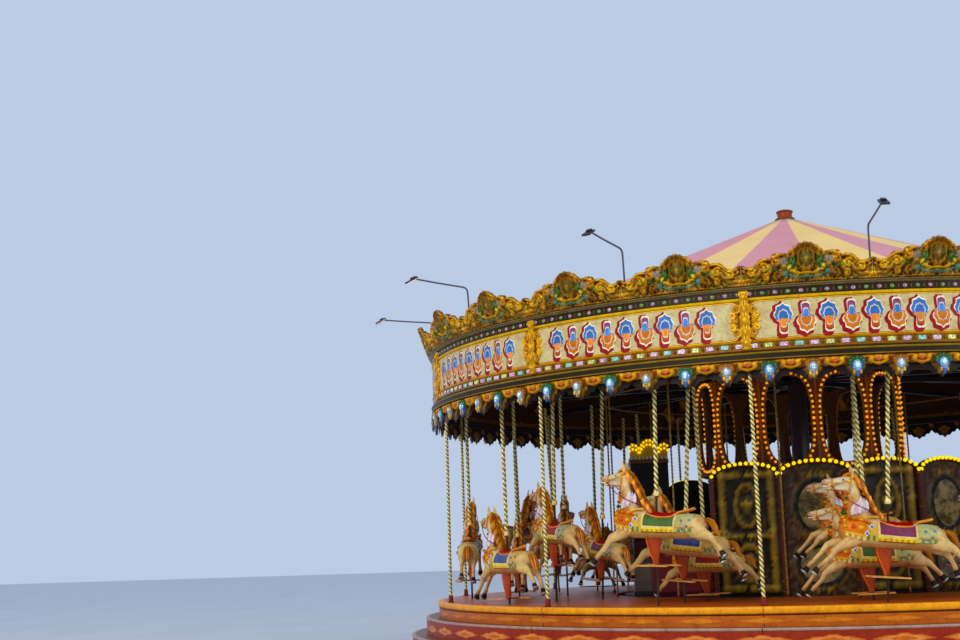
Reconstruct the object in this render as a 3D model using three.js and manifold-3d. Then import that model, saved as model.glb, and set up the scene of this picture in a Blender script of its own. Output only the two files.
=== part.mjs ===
// Fairground carousel, a three-abreast galloper in twelve sections.
// Millimetres, +Z up. The origin is on the ground, on the centre line of the machine.
// Section 0 faces -Y, and section angles grow from -Y towards -X, the way the machine turns.

import * as THREE from 'three';
import { mergeVertices } from 'three/addons/utils/BufferGeometryUtils.js';
import Module from 'manifold-3d';

const wasm = await Module();
wasm.setup();

// Driving dimensions
const SECTIONS = 12;
const GAP = 0.3;
const RING_SIDES = 36;

const PLATFORM_TOP = 800;
const PLATFORM_RADIUS = 6000;
const PLATFORM_INNER_RADIUS = 3150;
const PLATFORM_THICKNESS = 60;
const EDGE_BAND_DEPTH = 100;
const EDGE_BAND_WIDTH = 30;

const LOWER_TREAD_RADIUS = 6460;
const LOWER_TREAD_HEIGHT = 300;
const UPPER_TREAD_RADIUS = 6230;
const UPPER_TREAD_HEIGHT = 560;
const STEP_BOARD = 30;
const RISER_RADIUS = 6020;
const RISER_THICKNESS = 25;
const RUNNING_GAP = 6;

const CENTRE_DECK_RADIUS = 3000;
const PANEL_RADIUS = 2900;
const PANEL_SIDES = 18;
const PANEL_THICKNESS = 40;
const PANEL_FIRST_ANGLE = -234;
const PANEL_COUNT = 14;
const PANEL_SHOULDER = 2550;
const PANEL_CROWN = 2720;

const MAST_RADIUS = 150;
const MAST_TOP = 4400;
const HUB_RADIUS = 260;
const KING_POST_RADIUS = 110;

const BEAM_BOTTOM = 4160;
const BEAM_DEPTH = 80;
const BEAM_WIDTH = 50;
const CRANK_SHAFT_HEIGHT = 4265;
const CRANK_SHAFT_RADIUS = 25;
const CRANK_HUB_RADIUS = 1750;

const OUTER_ROD_RADIUS = 5920;
const INNER_ROD_RADIUS = 3250;
const OUTER_ROD_THICKNESS = 44;
const INNER_ROD_THICKNESS = 26;

const BOARD_RADIUS = 6030;
const BOARD_THICKNESS = 40;
const CORNICE_BOTTOM = 3800;
const CORNICE_TOP = 3920;
const CORNICE_RADIUS = 6070;
const BOARD_TOP = 4694;
const LEDGE_TOP = 4730;
const CREST_VALLEY = 4955;
const CREST_RISE = 265;
const CREST_LEAN = 0.4;
const CREST_ANGLE = 7.2;
// Outline of one crown: degrees from its middle, and share of the rise
const CREST_OUTLINE = [[0, 1], [1.7, 0.75], [2.2, 0.56], [3.6, 0.47], [4.9, 0.3], [5.9, 0.02], [9, 0]];
const DROPPER_BAND_BOTTOM = 3665;
const DROPPER_TIP = 3520;
const DROPPERS_ROUND = 72;
const VALANCE_RADIUS = 5975;
const VALANCE_LOW = 3500;
const VALANCE_HIGH = 3640;

const TILT_TOP = 6930;
const TILT_TOP_RADIUS = 150;
const TILT_EDGE = 4666;
const TILT_EDGE_RADIUS = 5960;
const TILT_THICKNESS = 10;
const CAP_TOP = 7110;
const CAP_RADIUS = 140;

const DRUM_RADIUS = 1600;
const DRUM_BOTTOM = 2640;
const DRUM_THICKNESS = 30;
const OVAL_CENTRE = 3425;
const OVAL_HALF_HEIGHT = 675;
const OVAL_HALF_WIDTH = 345;

const LIGHT_RADIUS = 6000;
const LIGHT_ELBOW = 5400;
const LIGHT_REACH = 6850;
const LIGHT_HEAD_HEIGHT = 5510;
const LIGHT_TUBE = 22;
const LIGHT_HEAD = [110, 200, 75];

const ROD_HOOP_HEIGHT = 3950;
const CABIN_PLACE = [-2500, 300];

// Rows of horses: radius of the row and size of its horses
const ROWS = [
  { name: 'outer', radius: 5500, size: 1.0 },
  { name: 'middle', radius: 4720, size: 0.92 },
  { name: 'inner', radius: 3930, size: 0.84 },
];

// The cranks throw 250 mm either way and are set a third of a turn apart: lift and lean at rest
const THROWS = [
  { lift: 0, lean: 4.4 },
  { lift: 216, lean: 2.0 },
  { lift: -216, lean: -1.2 },
];
const POLE_RADIUS = 24;
const POLE_BOTTOM = -335;
const POLE_TOP = 3700;
const POLE_CLEARANCE = 0.6;
const FOOTBOARD_TOP = 310;
const FOOTBOARD_THICKNESS = 25;
const FOOTBOARD_REACH = 260;
const FOOTBOARD_WIDTH = 120;
const FOOTBOARD_LENGTH = 480;
const BRACKET_TOP = 680;

// Helpers

function sectionTurn(section) {
  return -THREE.MathUtils.degToRad((section * 360) / SECTIONS);
}

function dividerTurn(section) {
  return -THREE.MathUtils.degToRad(((section + 0.5) * 360) / SECTIONS);
}

function onlyPositions(geometry) {
  const bare = geometry.index ? geometry.toNonIndexed() : geometry.clone();
  for (const name of Object.keys(bare.attributes)) {
    if (name !== 'position') bare.deleteAttribute(name);
  }
  return mergeVertices(bare, 1e-3);
}

// Turns a closed geometry into a solid, without the flat triangles that lathes leave on their axis.
function solidOf(geometry) {
  const merged = onlyPositions(geometry);
  const index = merged.index.array;
  const kept = [];
  for (let i = 0; i < index.length; i += 3) {
    const [a, b, c] = [index[i], index[i + 1], index[i + 2]];
    if (a !== b && b !== c && c !== a) kept.push(a, b, c);
  }
  const mesh = new wasm.Mesh({
    numProp: 3,
    vertProperties: new Float32Array(merged.attributes.position.array),
    triVerts: new Uint32Array(kept),
  });
  return new wasm.Manifold(mesh);
}

function geometryOf(solid) {
  const mesh = solid.getMesh();
  const geometry = new THREE.BufferGeometry();
  geometry.setAttribute('position', new THREE.BufferAttribute(new Float32Array(mesh.vertProperties), 3));
  geometry.setIndex(new THREE.BufferAttribute(new Uint32Array(mesh.triVerts), 1));
  geometry.computeVertexNormals();
  return geometry;
}

function joined(geometries) {
  let whole = solidOf(geometries[0]);
  for (const geometry of geometries.slice(1)) {
    whole = whole.add(solidOf(geometry));
  }
  return geometryOf(whole);
}

// Turns a profile of [radius, height] points, run anticlockwise, about the machine's centre line.
function turned(profile, sides, phase = 0) {
  const points = profile.map(([radius, height]) => new THREE.Vector2(radius, height));
  const onAxis = profile[0][0] === 0;
  if (!onAxis) points.push(points[0].clone());
  const start = THREE.MathUtils.degToRad(phase);
  const lathe = new THREE.LatheGeometry(points, sides, start, Math.PI * 2);
  lathe.rotateX(Math.PI / 2);
  return onlyPositions(lathe);
}

// A ring whose profile is moved, column by column, by shape(angle in degrees, radius, height).
function shapedRing(profile, sides, phase, shape) {
  const ring = turned(profile, sides, phase);
  const position = ring.attributes.position;
  for (let i = 0; i < position.count; i += 1) {
    const x = position.getX(i);
    const y = position.getY(i);
    const radius = Math.hypot(x, y);
    const angle = THREE.MathUtils.radToDeg(Math.atan2(-x, -y));
    const moved = shape(angle, radius, position.getZ(i));
    position.setXYZ(i, (x * moved.radius) / radius, (y * moved.radius) / radius, moved.height);
  }
  return ring;
}

function outline(points) {
  return new THREE.Shape(points.map(([x, y]) => new THREE.Vector2(x, y)));
}

// Extrudes an outline drawn in X and Z by a width along Y, centred on y.
function plate(points, width, y = 0) {
  const geometry = new THREE.ExtrudeGeometry(outline(points), { depth: width, bevelEnabled: false });
  geometry.rotateX(Math.PI / 2);
  geometry.translate(0, y + width / 2, 0);
  return geometry;
}

// Extrudes an outline drawn in Y and Z by a length along X, centred on x.
function crossPlate(points, length, x = 0) {
  const geometry = plate(points, length);
  geometry.rotateZ(Math.PI / 2);
  geometry.translate(x, 0, 0);
  return geometry;
}

function block(width, depth, height, x, y, z) {
  const geometry = new THREE.BoxGeometry(width, depth, height);
  geometry.translate(x, y, z + height / 2);
  return geometry;
}

// A post of even sides, standing on z.
function post(radius, height, sides, x, y, z) {
  const points = [];
  for (let i = 0; i < sides; i += 1) {
    const angle = ((i + 0.5) / sides) * Math.PI * 2;
    points.push([radius * Math.cos(angle), radius * Math.sin(angle)]);
  }
  const geometry = new THREE.ExtrudeGeometry(outline(points), { depth: height, bevelEnabled: false });
  geometry.translate(x, y, z);
  return geometry;
}

function turnedCopy(geometry, angle) {
  return geometry.clone().rotateZ(angle);
}

function aroundSections(geometry, turn) {
  const copies = [];
  for (let section = 0; section < SECTIONS; section += 1) {
    copies.push(turnedCopy(geometry, turn(section)));
  }
  return copies;
}

function material(colour, roughness, metalness = 0) {
  return new THREE.MeshStandardMaterial({ color: colour, roughness, metalness });
}

const carousel = new THREE.Group();

function addNode(name, geometry, finish) {
  const mesh = new THREE.Mesh(geometry, finish);
  mesh.name = name;
  carousel.add(mesh);
  return mesh;
}

const GOLD = material(0xb07818, 0.35, 0.4);
const BRASS = material(0xb99a4a, 0.3, 0.9);
const RED_PAINT = material(0xa8401c, 0.5);
const DARK_TIMBER = material(0x2a1a10, 0.7);
const GREY_STEEL = material(0x8c8c88, 0.4, 0.7);

// Fixed base: steps, centre deck, panels, mast and what stands in the middle

function lowerStep() {
  const inner = UPPER_TREAD_RADIUS + GAP;
  const under = LOWER_TREAD_HEIGHT - STEP_BOARD;
  const profile = [
    [LOWER_TREAD_RADIUS, 0],
    [LOWER_TREAD_RADIUS, LOWER_TREAD_HEIGHT],
    [inner, LOWER_TREAD_HEIGHT],
    [inner, under],
    [LOWER_TREAD_RADIUS - STEP_BOARD, under],
    [LOWER_TREAD_RADIUS - STEP_BOARD, 0],
  ];
  return turned(profile, RING_SIDES, 5);
}

function upperStep() {
  const under = UPPER_TREAD_HEIGHT - STEP_BOARD;
  const riserTop = PLATFORM_TOP - EDGE_BAND_DEPTH - RUNNING_GAP;
  const riserBack = RISER_RADIUS - RISER_THICKNESS;
  const profile = [
    [UPPER_TREAD_RADIUS, 0],
    [UPPER_TREAD_RADIUS, UPPER_TREAD_HEIGHT],
    [RISER_RADIUS, UPPER_TREAD_HEIGHT],
    [RISER_RADIUS, riserTop],
    [riserBack, riserTop],
    [riserBack, under],
    [UPPER_TREAD_RADIUS - STEP_BOARD, under],
    [UPPER_TREAD_RADIUS - STEP_BOARD, 0],
  ];
  return turned(profile, RING_SIDES, 5);
}

function centreDeck() {
  const skirt = 60;
  const profile = [
    [0, PLATFORM_TOP - skirt],
    [CENTRE_DECK_RADIUS - skirt, PLATFORM_TOP - skirt],
    [CENTRE_DECK_RADIUS - skirt, 0],
    [CENTRE_DECK_RADIUS, 0],
    [CENTRE_DECK_RADIUS, PLATFORM_TOP],
    [0, PLATFORM_TOP],
  ];
  return turned(profile, 24);
}

// One arch-topped panel, flat, facing -Y at the panel radius.
function centrePanel() {
  const half = PANEL_RADIUS * Math.tan(Math.PI / PANEL_SIDES);
  const steps = 4;
  const points = [[-half, PLATFORM_TOP + GAP], [half, PLATFORM_TOP + GAP]];
  for (let i = 0; i <= steps; i += 1) {
    const across = 1 - (2 * i) / steps;
    const rise = Math.sqrt(Math.max(0, 1 - across * across));
    points.push([across * half, PANEL_SHOULDER + (PANEL_CROWN - PANEL_SHOULDER) * rise]);
  }
  return plate(points, PANEL_THICKNESS, -PANEL_RADIUS + PANEL_THICKNESS / 2);
}

function centrePanels() {
  const panel = centrePanel();
  const copies = [];
  for (let i = 0; i < PANEL_COUNT; i += 1) {
    const angle = PANEL_FIRST_ANGLE + (i * 360) / PANEL_SIDES;
    copies.push(turnedCopy(panel, -THREE.MathUtils.degToRad(angle)));
  }
  return joined(copies);
}

function controlCabin() {
  const width = 620;
  const depth = 700;
  const wall = 2200;
  const arch = 320;
  const points = [
    [-width / 2, PLATFORM_TOP + GAP],
    [width / 2, PLATFORM_TOP + GAP],
    [width / 2, PLATFORM_TOP + wall],
    [width / 4, PLATFORM_TOP + wall + arch],
    [-width / 4, PLATFORM_TOP + wall + arch],
    [-width / 2, PLATFORM_TOP + wall],
  ];
  return plate(points, depth);
}

function mast() {
  const foot = 320;
  const footHeight = 120;
  const bottom = PLATFORM_TOP + GAP;
  const profile = [
    [0, bottom],
    [foot, bottom],
    [foot, bottom + footHeight],
    [MAST_RADIUS, bottom + footHeight],
    [MAST_RADIUS, MAST_TOP],
    [0, MAST_TOP],
  ];
  return turned(profile, 12);
}

// Turning frame

// The hole for a pole that leans along X: flat sides, wide enough for the lean.
function poleHole(radius, lean) {
  const slope = Math.tan(THREE.MathUtils.degToRad(Math.abs(lean)));
  const drift = (slope * PLATFORM_THICKNESS) / 2;
  const shift = -Math.sign(lean) * drift;
  const flat = POLE_RADIUS * Math.cos(Math.PI / 6);
  const halfWidth = flat + drift + POLE_CLEARANCE;
  const stretchX = halfWidth / flat;
  const stretchY = (POLE_RADIUS + POLE_CLEARANCE) / POLE_RADIUS / (1 - drift / halfWidth);
  const points = [];
  for (let i = 0; i < 6; i += 1) {
    const angle = ((i + 0.5) / 6) * Math.PI * 2;
    const x = POLE_RADIUS * Math.cos(angle) * stretchX + shift;
    const y = POLE_RADIUS * Math.sin(angle) * stretchY;
    points.push(new THREE.Vector2(x, y - radius));
  }
  return points;
}

function throwOf(section, row) {
  return THROWS[(section - row + SECTIONS) % THROWS.length];
}

function ringPoints(radius, sides, phase) {
  const points = [];
  for (let i = 0; i < sides; i += 1) {
    const angle = THREE.MathUtils.degToRad(phase + (i * 360) / sides);
    points.push(new THREE.Vector2(radius * Math.sin(angle), -radius * Math.cos(angle)));
  }
  return points;
}

function platform() {
  const floor = new THREE.Shape(ringPoints(PLATFORM_RADIUS, RING_SIDES, 5));
  floor.holes.push(new THREE.Path(ringPoints(PLATFORM_INNER_RADIUS, RING_SIDES, 5)));
  const centre = new THREE.Vector2(0, 0);
  for (let section = 0; section < SECTIONS; section += 1) {
    ROWS.forEach((row, rank) => {
      const hole = poleHole(row.radius, throwOf(section, rank).lean);
      hole.forEach((point) => point.rotateAround(centre, sectionTurn(section)));
      floor.holes.push(new THREE.Path(hole));
    });
  }
  const geometry = new THREE.ExtrudeGeometry(floor, { depth: PLATFORM_THICKNESS, bevelEnabled: false });
  geometry.translate(0, 0, PLATFORM_TOP - PLATFORM_THICKNESS);
  return geometry;
}

function rectangleRing(inner, outer, bottom, top, sides, phase) {
  return turned([[outer, bottom], [outer, top], [inner, top], [inner, bottom]], sides, phase);
}

function rodsWithHoop(radius, thickness, sides) {
  const bottom = PLATFORM_TOP + GAP;
  const length = BEAM_BOTTOM - GAP - bottom;
  const rod = post(thickness / 2, length, sides, 0, -radius, bottom);
  const hoop = rectangleRing(radius - 12, radius + 12, ROD_HOOP_HEIGHT, ROD_HOOP_HEIGHT + 30, SECTIONS, 15);
  return joined([hoop, ...aroundSections(rod, dividerTurn)]);
}

// Height of the canvas underside over the middle of one of its 24 flats.
function tiltUnderside(radius) {
  const slope = (TILT_TOP - TILT_EDGE) / (TILT_EDGE_RADIUS - TILT_TOP_RADIUS);
  const atCorner = radius / Math.cos(THREE.MathUtils.degToRad(7.5));
  return TILT_TOP - slope * (atCorner - TILT_TOP_RADIUS) - TILT_THICKNESS;
}

// One swift: the beam that carries the platform rods, and the rafter under the canvas.
function swift() {
  const inner = KING_POST_RADIUS - 20;
  const outer = BOARD_RADIUS - BOARD_THICKNESS - 2.5;
  const tip = TILT_EDGE_RADIUS - 40;
  const beamTop = BEAM_BOTTOM + BEAM_DEPTH;
  const rafterDepth = 90;
  const notchTop = MAST_TOP + 60;
  const rim = [
    [inner, notchTop],
    [HUB_RADIUS - 40, notchTop],
    [HUB_RADIUS - 40, BEAM_BOTTOM],
    [outer, BEAM_BOTTOM],
    [outer, tiltUnderside(tip) - 40],
    [tip, tiltUnderside(tip) - GAP],
    [inner + 90, tiltUnderside(inner + 90) - GAP],
    [inner, tiltUnderside(inner + 90) - rafterDepth],
  ];
  const shape = outline(rim);
  const postInner = outer - 60;
  const hole = [
    [HUB_RADIUS + 80, beamTop],
    [HUB_RADIUS + 80, tiltUnderside(HUB_RADIUS + 80) - rafterDepth],
    [postInner, tiltUnderside(postInner) - rafterDepth],
    [postInner, beamTop],
  ];
  shape.holes.push(new THREE.Path(hole.map(([x, y]) => new THREE.Vector2(x, y))));
  const geometry = new THREE.ExtrudeGeometry(shape, { depth: BEAM_WIDTH, bevelEnabled: false });
  geometry.rotateX(Math.PI / 2);
  geometry.translate(0, BEAM_WIDTH / 2, 0);
  geometry.rotateZ(-Math.PI / 2);
  return geometry;
}

function swifts() {
  const bore = MAST_RADIUS + 15;
  const pivot = MAST_TOP + GAP;
  const profile = [
    [0, pivot],
    [bore, pivot],
    [bore, BEAM_BOTTOM - 60],
    [HUB_RADIUS, BEAM_BOTTOM - 60],
    [HUB_RADIUS, MAST_TOP + 100],
    [KING_POST_RADIUS, MAST_TOP + 100],
    [KING_POST_RADIUS, TILT_TOP],
    [0, TILT_TOP],
  ];
  const hub = turned(profile, SECTIONS);
  return joined([hub, ...aroundSections(swift(), dividerTurn)]);
}

function crankShafts() {
  const outer = BOARD_RADIUS - BOARD_THICKNESS - 25;
  const length = outer - CRANK_HUB_RADIUS;
  const shaft = post(CRANK_SHAFT_RADIUS, length, 4, 0, 0, 0);
  shaft.rotateX(Math.PI / 2);
  shaft.translate(0, -CRANK_HUB_RADIUS, CRANK_SHAFT_HEIGHT);
  const low = BEAM_BOTTOM + BEAM_DEPTH + GAP;
  const hub = rectangleRing(CRANK_HUB_RADIUS - 30, CRANK_HUB_RADIUS + 30, low, low + 50, SECTIONS, 0);
  return joined([hub, ...aroundSections(shaft, sectionTurn)]);
}

// One flat of the upper drum, pierced by a tall oval.
function drumPanel() {
  const half = DRUM_RADIUS * Math.tan(Math.PI / SECTIONS);
  const top = BEAM_BOTTOM - GAP;
  const shape = outline([[-half, DRUM_BOTTOM], [half, DRUM_BOTTOM], [half, top], [-half, top]]);
  const sides = 10;
  const oval = [];
  for (let i = 0; i < sides; i += 1) {
    const angle = ((i + 0.5) / sides) * Math.PI * 2;
    const x = OVAL_HALF_WIDTH * Math.cos(angle);
    oval.push(new THREE.Vector2(x, OVAL_CENTRE + OVAL_HALF_HEIGHT * Math.sin(angle)));
  }
  shape.holes.push(new THREE.Path(oval));
  const geometry = new THREE.ExtrudeGeometry(shape, { depth: DRUM_THICKNESS, bevelEnabled: false });
  geometry.rotateX(Math.PI / 2);
  geometry.translate(0, -DRUM_RADIUS + DRUM_THICKNESS, 0);
  return geometry;
}

// Height of the crest's edge as a share of its rise: two crowns a section, either side of the middle.
function crestShare(angle) {
  const width = 360 / SECTIONS;
  const local = ((((angle + width / 2) % width) + width) % width) - width / 2;
  const fromCrown = Math.abs(Math.abs(local) - CREST_ANGLE);
  const after = Math.max(1, CREST_OUTLINE.findIndex(([degrees]) => degrees >= fromCrown));
  const [lowAngle, lowShare] = CREST_OUTLINE[after - 1];
  const [highAngle, highShare] = CREST_OUTLINE[after];
  return lowShare + ((highShare - lowShare) * (fromCrown - lowAngle)) / (highAngle - lowAngle);
}

function crests() {
  const low = LEDGE_TOP + GAP;
  const inner = BOARD_RADIUS;
  const profile = [[BOARD_RADIUS + 35, low], [BOARD_RADIUS + 35, CREST_VALLEY], [inner, low]];
  return shapedRing(profile, SECTIONS * 16, 0, (angle, radius, height) => {
    if (height < low + 1) return { radius, height };
    const crown = CREST_VALLEY + CREST_RISE * crestShare(angle);
    return { radius: BOARD_RADIUS + 25 + CREST_LEAN * (crown - low), height: crown };
  });
}

// A hanging band whose lower edge runs in points, one to each dropper.
function pointedBand(inner, outer, top, low, high) {
  const profile = [[outer, top], [inner, top], [(inner + outer) / 2, low]];
  const half = 180 / DROPPERS_ROUND;
  return shapedRing(profile, DROPPERS_ROUND * 2, 0, (angle, radius, height) => {
    if (height > top - 1) return { radius, height };
    const turn = Math.round(angle / half);
    return { radius, height: turn % 2 === 0 ? high : low };
  });
}

function droppers() {
  const top = CORNICE_BOTTOM - GAP;
  return pointedBand(BOARD_RADIUS - 10, BOARD_RADIUS + 30, top, DROPPER_TIP, DROPPER_BAND_BOTTOM);
}

function innerValance() {
  const top = CORNICE_BOTTOM - GAP;
  return pointedBand(VALANCE_RADIUS - 20, VALANCE_RADIUS, top, VALANCE_LOW, VALANCE_HIGH);
}

function tilt() {
  const profile = [
    [TILT_EDGE_RADIUS, TILT_EDGE - TILT_THICKNESS],
    [TILT_EDGE_RADIUS, TILT_EDGE],
    [TILT_TOP_RADIUS, TILT_TOP],
    [TILT_TOP_RADIUS, TILT_TOP - TILT_THICKNESS],
  ];
  return turned(profile, 24, 7.5);
}

function topCap() {
  const low = TILT_TOP + GAP;
  const profile = [
    [0, low],
    [CAP_RADIUS + 20, low],
    [CAP_RADIUS + 20, low + 30],
    [CAP_RADIUS - 20, low + 60],
    [CAP_RADIUS, CAP_TOP - 30],
    [CAP_RADIUS - 50, CAP_TOP],
    [0, CAP_TOP],
  ];
  return turned(profile, SECTIONS);
}

// One gooseneck lamp arm: up from its hoop, bent outwards, with a lamp head that looks down.
function lightArm() {
  const foot = new THREE.Vector3(0, -LIGHT_RADIUS, LEDGE_TOP + 10);
  const elbow = new THREE.Vector3(0, -LIGHT_RADIUS - 30, LIGHT_ELBOW);
  const bend = new THREE.Vector3(0, -LIGHT_RADIUS - 110, LIGHT_ELBOW + 45);
  const end = new THREE.Vector3(0, -LIGHT_REACH, LIGHT_HEAD_HEIGHT);
  const path = new THREE.CatmullRomCurve3([foot, elbow, bend, end], false, 'catmullrom', 0.1);
  const half = LIGHT_TUBE / 2;
  const square = outline([[-half, -half], [half, -half], [half, half], [-half, half]]);
  const tube = new THREE.ExtrudeGeometry(square, { steps: 3, extrudePath: path, bevelEnabled: false });
  const [width, length, height] = LIGHT_HEAD;
  const head = block(width, length, height, 0, -LIGHT_REACH - 80, LIGHT_HEAD_HEIGHT - height);
  return [tube, head];
}

function lightArms() {
  const low = LEDGE_TOP + GAP;
  const hoop = rectangleRing(LIGHT_RADIUS - 25, LIGHT_RADIUS + 20, low, low + 20, SECTIONS * 2, 0);
  const parts = [hoop];
  for (const piece of lightArm()) {
    parts.push(...aroundSections(piece, sectionTurn));
  }
  return joined(parts);
}

// Horses

// A horse in full gallop, nose towards -X, with its pole, bracket and footboards.
// Its own origin is where the pole meets the platform when the crank throw is level.
function horse(size) {
  const barrelLine = [[0, -600], [165, -400], [172, 420], [0, 700]];
  const barrel = new THREE.LatheGeometry(barrelLine.map(([r, x]) => new THREE.Vector2(r, x)), 6);
  barrel.rotateZ(-Math.PI / 2);
  barrel.translate(0, 0, 800);
  const neck = plate([
    [-420, 700], [-60, 1020], [-400, 1560], [-480, 1690], [-520, 1565], [-790, 1490], [-740, 1360], [-560, 1290],
    [-570, 880],
  ], 130);
  const frontLeg = [[-420, 830], [-1040, 325], [-980, 280], [-380, 650]];
  const hindLeg = [[560, 880], [980, 400], [905, 350], [420, 660]];
  const legs = [];
  for (const side of [-1, 1]) {
    legs.push(plate(frontLeg, 75, side * 85), plate(hindLeg, 80, side * 90));
  }
  const body = joined([barrel, neck, ...legs]);
  body.scale(size, size, size);
  body.translate(0, 0, FOOTBOARD_TOP * (1 - size));
  const low = FOOTBOARD_TOP - FOOTBOARD_THICKNESS;
  const bracket = crossPlate([
    [35, BRACKET_TOP], [-35, BRACKET_TOP], [-35, FOOTBOARD_TOP], [-FOOTBOARD_REACH, FOOTBOARD_TOP],
    [-FOOTBOARD_REACH, low], [FOOTBOARD_REACH, low], [FOOTBOARD_REACH, FOOTBOARD_TOP], [35, FOOTBOARD_TOP],
  ], 160);
  const footboards = [-1, 1].map((side) => {
    const middle = side * (FOOTBOARD_REACH - FOOTBOARD_WIDTH / 2);
    return block(FOOTBOARD_LENGTH, FOOTBOARD_WIDTH, FOOTBOARD_THICKNESS, 0, middle, low);
  });
  const pole = post(POLE_RADIUS, POLE_TOP - POLE_BOTTOM, 6, 0, 0, POLE_BOTTOM);
  return joined([body, bracket, ...footboards, pole]);
}

function placeHorses() {
  ROWS.forEach((row, rank) => {
    const geometry = horse(row.size);
    const finish = material(0xe0d8c0, 0.35);
    for (let section = 0; section < SECTIONS; section += 1) {
      const { lift, lean } = throwOf(section, rank);
      const place = new THREE.Group();
      place.rotation.z = sectionTurn(section);
      const foot = new THREE.Group();
      foot.position.set(0, -row.radius, PLATFORM_TOP);
      foot.rotation.y = THREE.MathUtils.degToRad(lean);
      const mesh = new THREE.Mesh(geometry, finish);
      mesh.name = `horse_${row.name}_${section + 1}`;
      mesh.position.z = lift;
      foot.add(mesh);
      place.add(foot);
      carousel.add(place);
    }
  });
}

addNode('lower_step', lowerStep(), RED_PAINT);
addNode('upper_step', upperStep(), RED_PAINT);
addNode('centre_deck', centreDeck(), DARK_TIMBER);
addNode('centre_panels', centrePanels(), GOLD);
addNode('mast', mast(), DARK_TIMBER);
const cabin = addNode('control_cabin', controlCabin(), DARK_TIMBER);
cabin.position.set(...CABIN_PLACE, 0);
const standing = PLATFORM_TOP + GAP;
addNode('maroon_locker', block(900, 600, 680, -2150, -1150, standing), material(0x4a1218, 0.6));
addNode('grey_locker', block(500, 450, 560, -2610, -575, standing), material(0x4c4a48, 0.6));

addNode('platform', platform(), material(0x8a4a22, 0.45));
const bandInner = PLATFORM_RADIUS + GAP;
const bandOuter = PLATFORM_RADIUS + EDGE_BAND_WIDTH;
const bandLow = PLATFORM_TOP - EDGE_BAND_DEPTH;
addNode('platform_edge', rectangleRing(bandInner, bandOuter, bandLow, PLATFORM_TOP, RING_SIDES, 5), GOLD);
addNode('outer_rods', rodsWithHoop(OUTER_ROD_RADIUS, OUTER_ROD_THICKNESS, 6), BRASS);
addNode('inner_rods', rodsWithHoop(INNER_ROD_RADIUS, INNER_ROD_THICKNESS, 4), BRASS);
addNode('swifts', swifts(), DARK_TIMBER);
addNode('crank_shafts', crankShafts(), GREY_STEEL);
addNode('upper_drum', joined(aroundSections(drumPanel(), dividerTurn)), DARK_TIMBER);
const boardInner = BOARD_RADIUS - BOARD_THICKNESS;
addNode('bottom_cornice',
  rectangleRing(boardInner - 40, CORNICE_RADIUS, CORNICE_BOTTOM, CORNICE_TOP, RING_SIDES, 5), DARK_TIMBER);
addNode('rounding_boards',
  rectangleRing(boardInner, BOARD_RADIUS, CORNICE_TOP + GAP, BOARD_TOP, RING_SIDES, 5), material(0xe8dcb4, 0.5));
addNode('top_ledge',
  rectangleRing(boardInner - 15, BOARD_RADIUS + 55, BOARD_TOP + GAP, LEDGE_TOP, RING_SIDES, 5), GREY_STEEL);
addNode('crests', crests(), GOLD);
addNode('droppers', droppers(), GOLD);
addNode('inner_valance', innerValance(), DARK_TIMBER);
addNode('tilt', tilt(), material(0xe0b090, 0.8));
addNode('top_cap', topCap(), RED_PAINT);
addNode('light_arms', lightArms(), GREY_STEEL);
placeHorses();

export default carousel;
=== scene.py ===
import math

import bmesh
import bpy
import numpy as np
from mathutils import Matrix, Vector


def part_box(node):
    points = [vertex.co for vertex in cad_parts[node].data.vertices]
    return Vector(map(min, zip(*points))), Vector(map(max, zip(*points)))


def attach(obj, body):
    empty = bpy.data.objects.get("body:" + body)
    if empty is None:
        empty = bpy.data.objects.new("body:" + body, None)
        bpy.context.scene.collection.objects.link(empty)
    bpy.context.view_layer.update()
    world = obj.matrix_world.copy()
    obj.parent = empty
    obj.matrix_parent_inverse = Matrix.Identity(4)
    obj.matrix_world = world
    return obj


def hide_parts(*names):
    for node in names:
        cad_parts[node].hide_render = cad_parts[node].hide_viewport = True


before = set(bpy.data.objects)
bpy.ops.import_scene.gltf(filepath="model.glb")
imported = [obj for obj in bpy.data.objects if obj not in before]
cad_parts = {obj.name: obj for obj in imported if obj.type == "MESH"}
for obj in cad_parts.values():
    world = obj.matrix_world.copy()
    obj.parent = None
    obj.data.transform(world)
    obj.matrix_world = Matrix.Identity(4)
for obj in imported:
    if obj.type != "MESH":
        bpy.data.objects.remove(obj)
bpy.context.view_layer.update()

bl_info = {
    "name": "Fairground Carousel",
    "version": (1, 0, 0),
    "blender": (4, 5, 0),
    "location": "View3D > Sidebar > Carousel",
    "description": "Dresses a carousel of galloping horses with its carving, canvas, lamps and paint",
    "category": "Object",
}

SECTIONS = 12
SECTION = 2 * math.pi / SECTIONS
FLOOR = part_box("platform")[1][2]
BOARD_RADIUS = 6.03
BOARD_HALF = BOARD_RADIUS * SECTION / 2
LEDGE_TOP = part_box("top_ledge")[1][2]
BEAM_BOTTOM = 4.16
RICHNESS = 1.24

# Width of a floorboard, radii of the three risers and of the rods, and sides of a round step
BOARD_PITCH = 0.14
STEP_RADII = (6.452, 6.225, 6.018)
OUTER_RODS = 5.92
INNER_RODS = 3.25
STEP_SIDES = 180

# Radii of the boards' painted face, of the crests, of the boards' carved backs and of the valance
BOARD_FACE = 6.014
CREST_FACE = 6.062
BOARD_BACK = 5.978
VALANCE_FACE = 5.958

# Each row of horses: name, radius and size
ROWS = (("outer", 5.5, 1.0), ("middle", 4.72, 0.92), ("inner", 3.93, 0.84))

# Each crank throw at rest: lift in metres and lean in degrees
THROWS = ((0.0, 4.4), (0.216, 2.0), (-0.216, -1.2))

# Heights on a horse's pole: the footboards' top, round which the smaller rows shrink, and the sleeve's foot
FOOTBOARD_TOP = 0.31
SLEEVE_FOOT = 1.24

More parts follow.
